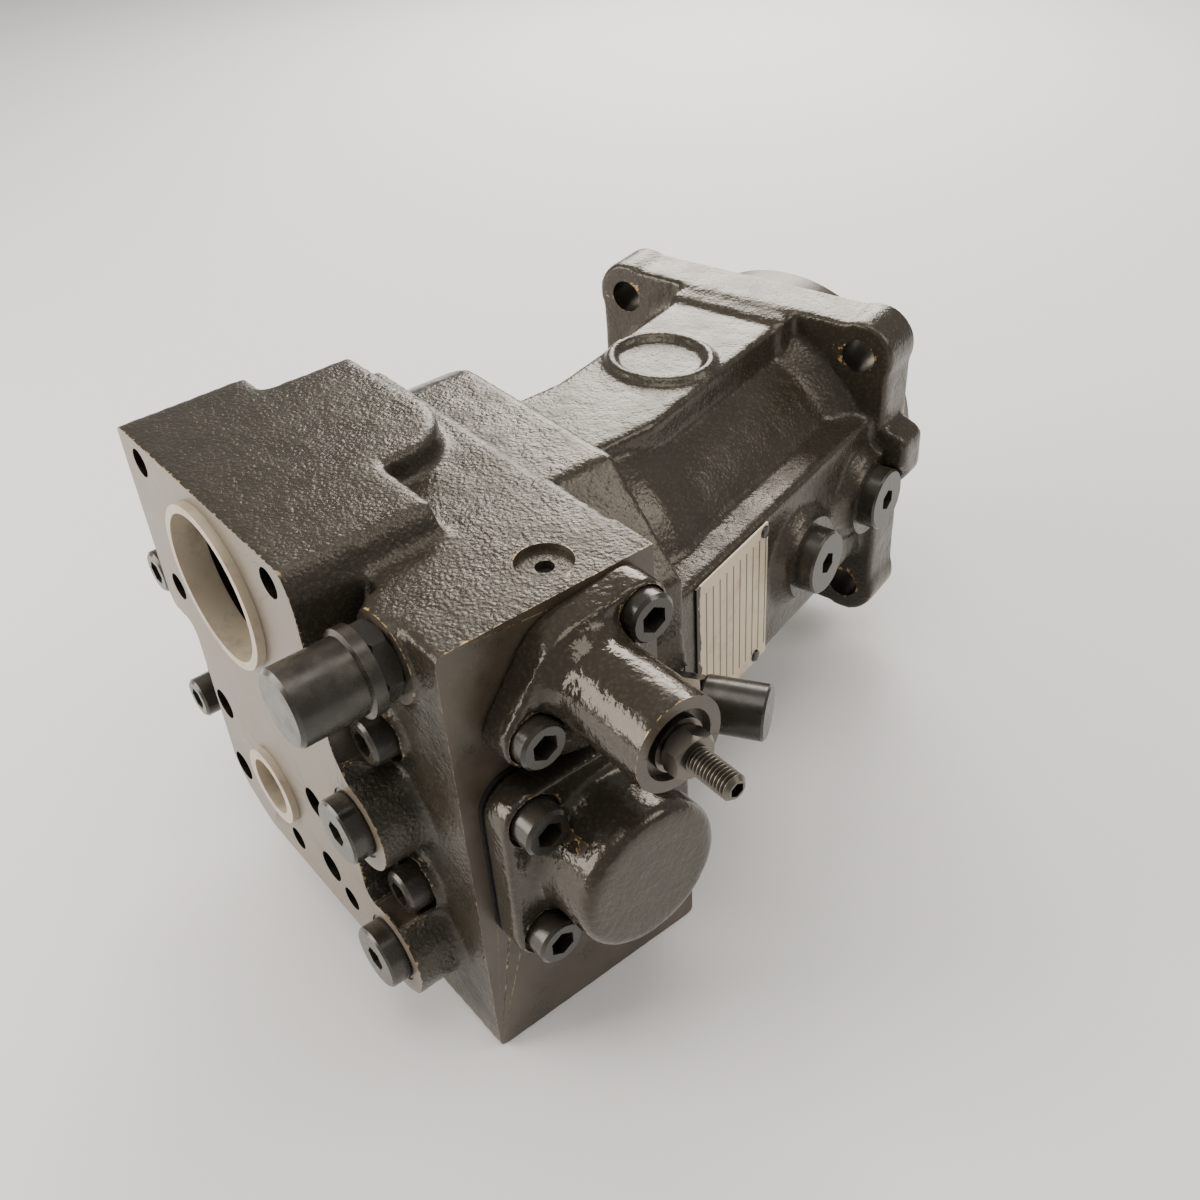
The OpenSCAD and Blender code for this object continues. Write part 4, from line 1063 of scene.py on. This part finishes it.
@dataclass
class Studio:
    """Camera, floor and soft lights."""

    eye: tuple[float, float, float] = (0.264225, -0.457989, 0.310397)
    right: tuple[float, float, float] = (0.808218, 0.586160, -0.056573)
    down: tuple[float, float, float] = (0.325067, -0.524184, -0.787123)
    ahead: tuple[float, float, float] = (-0.491035, 0.617777, -0.614196)
    focal_px: float = 1323.7335
    photo_px: float = 1200.0
    sensor_mm: float = 36.0

    def camera(self) -> None:
        """Places the camera at the photograph's point of view."""
        data = bpy.data.cameras.new("view")
        data.sensor_width = self.sensor_mm
        data.lens = self.focal_px * self.sensor_mm / self.photo_px
        data.clip_start = 0.01
        data.clip_end = 20.0
        eye = bpy.data.objects.new("view", data)
        bpy.context.scene.collection.objects.link(eye)
        rows = (Vector(self.right), -Vector(self.down), -Vector(self.ahead))
        turn = Matrix((rows[0], rows[1], rows[2])).transposed().to_4x4()
        eye.matrix_world = Matrix.Translation(Vector(self.eye)) @ turn
        bpy.context.scene.camera = eye

    def floor(self, level: float) -> None:
        """Lays a plain pale floor.

        Args:
            level: Height of the floor in metres.
        """
        sheet = bmesh.new()
        bmesh.ops.create_grid(sheet, x_segments=1, y_segments=1, size=6.0)
        bmesh.ops.translate(sheet, verts=sheet.verts, vec=(0.0, 0.0, level))
        floor = mesh_object("floor", sheet)
        paper = bpy.data.materials.new("floor_paper")
        paper.use_nodes = True
        shader = paper.node_tree.nodes["Principled BSDF"]
        shader.inputs["Base Color"].default_value = linear("#F6F7F8")
        shader.inputs["Roughness"].default_value = 0.9
        floor.data.materials.append(paper)

    def lamp(
        self, name: str, place: tuple[float, float, float], aim: tuple[float, float, float], size: float,
        power: float, tone: str = "#FFF6EA",
    ) -> None:
        """Adds one soft box.

        Args:
            name: Name of the light.
            place: Where it stands, in metres.
            aim: The point it faces.
            size: Side of the box in metres.
            power: Power in watts.
            tone: Colour of the light.
        """
        data = bpy.data.lights.new(name, "AREA")
        data.shape = "SQUARE"
        data.size = size
        data.energy = power
        data.color = linear(tone)[:3]
        light = bpy.data.objects.new(name, data)
        bpy.context.scene.collection.objects.link(light)
        way = (Vector(aim) - Vector(place)).normalized()
        turn = way.to_track_quat("-Z", "Y").to_matrix().to_4x4()
        light.matrix_world = Matrix.Translation(Vector(place)) @ turn

    def build(self, level: float) -> None:
        """Sets up the whole studio.

        Args:
            level: Height of the floor in metres.
        """
        self.camera()
        self.floor(level)
        self.lamp("window", (-0.6, 0.95, 0.62), (0.0, -0.1, 0.0), 0.7, 17.5)
        self.lamp("ceiling", (0.1, -0.3, 1.4), (0.0, -0.1, 0.0), 0.9, 10.0)
        self.lamp("left_box", (-0.75, -0.85, 0.4), (0.0, -0.2, 0.0), 0.7, 13.0)
        self.lamp("right_box", (0.8, 0.3, 0.8), (0.05, -0.05, 0.0), 0.5, 4.5)
        world = bpy.data.worlds.new("room")
        world.use_nodes = True
        world.node_tree.nodes["Background"].inputs["Color"].default_value = linear("#FFFCF9")
        world.node_tree.nodes["Background"].inputs["Strength"].default_value = 0.42
        bpy.context.scene.world = world


def dress(names: tuple[str, ...] | list[str], material: bpy.types.Material) -> None:
    """Gives CAD nodes their finish.

    Args:
        names: Names of the nodes.
        material: The finish.
    """
    for name in names:
        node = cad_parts[name]
        if not node.data.materials:
            node.data.materials.append(material)
        for i in range(len(node.data.materials)):
            node.data.materials[i] = material


@dataclass
class Fittings:
    """Screws, plugs, caps, sleeves, the name plate and the parts inside, each with its own finish."""

    painted: tuple[str, ...] = (
        "joint_screws", "cover_screws", "drain_plugs", "gauge_plugs", "plate_rivets", "rear_stop_screw",
        "side_stop_screw", "seal_carrier", "retaining_ring", "retaining_screws", "rear_stop_nut",
    )
    greased: tuple[str, ...] = ("adjusting_screw", "lock_washer", "lock_nut", "side_stop_nut")
    caps: tuple[str, ...] = ("rear_cap", "side_cap")
    sleeves: tuple[str, ...] = ("suction_sleeve", "pressure_sleeve")
    rubber: tuple[str, ...] = ("stroking_gasket", "shaft_seal")

    def spring(self) -> None:
        """Copies the control spring as a mesh of its own in the same place, with a spring steel finish, and
        hides the CAD node.
        """
        coil = mesh_object("control_spring_coil", solid_copy("control_spring"))
        coil.data.materials.append(BareMetal("spring_steel", "#4A4641", 0.3).build())
        coil.data.shade_smooth()
        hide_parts("control_spring")
        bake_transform(coil)

    def build(self, overpainted: bpy.types.Material) -> None:
        """Dresses every node that is no casting.

        Args:
            overpainted: The casting's paint, which also covers the sunk plug.
        """
        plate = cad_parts["name_plate"].bound_box
        groups = (
            (("top_plug",), overpainted),
            (self.painted, ThinPaint("painted_steel", "#26231E", "#3B372F", 0.24).build()),
            (self.greased, BareMetal("phosphated_steel", "#69655E", 0.32).build()),
            (self.caps, MouldedPlastic("painted_polyethylene", "#2A2620", "#47423A", 0.27).build()),
            (self.sleeves, MouldedPlastic("cream_polyethylene", "#B7AD99", "#94897A", see_in=0.25).build()),
            (self.rubber, MouldedPlastic("black_rubber", "#141414", "#1E1D1C", roughness=0.6).build()),
            (("name_plate",), RuledFoil("ruled_foil", Vector(plate[0]), Vector(plate[6])).build()),
        )
        self.spring()
        done = {"housing", "port_block", "control_cover", "stroking_cover", "control_spring"}
        for names, material in groups:
            dress(names, material)
            done.update(names)
            LOG.info("%s: %s", material.name, ", ".join(names))
        ground = BareMetal("ground_steel", "#9A958C").build()
        dress([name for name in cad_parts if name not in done], ground)


def main() -> None:
    """Builds the studio and every piece."""
    Studio().build(CAD_BOX[0][2] - FLOOR_GAP * MM)
    machined = ThinPaint("painted_machined_face").build()
    # The bores' very dark tint is partly the oiled metal's own colour and partly painted shade inside the
    # holes and rooms.
    bore = BareMetal("oiled_bore_and_painted_shade", "#37322A", 0.5).build()
    PumpHousing([ThickPaint("housing_paint", roughness=0.22).build(), machined, bore]).build()
    sand_paint = ThickPaint("block_paint", grain=Grain.SAND).build()
    # The port face is tinted lighter than the other machined faces, partly for its own thin paint and partly
    # as painted reflection of the bright floor and lamps it faces.
    port_paint_and_reflection = ThinPaint("port_face_paint_and_painted_reflection", "#665D52", "#7B7265", 0.33).build()
    PortBlock([sand_paint, machined, bore, port_paint_and_reflection]).build()
    cover = ThickPaint("cover_paint", grain=Grain.SMOOTH, roughness=0.14, ripple_mm=2.4, ripple=0.6).build()
    Covers([cover, machined, bore]).build()
    Fittings().build(sand_paint)


if __name__ == "__main__":
    main()
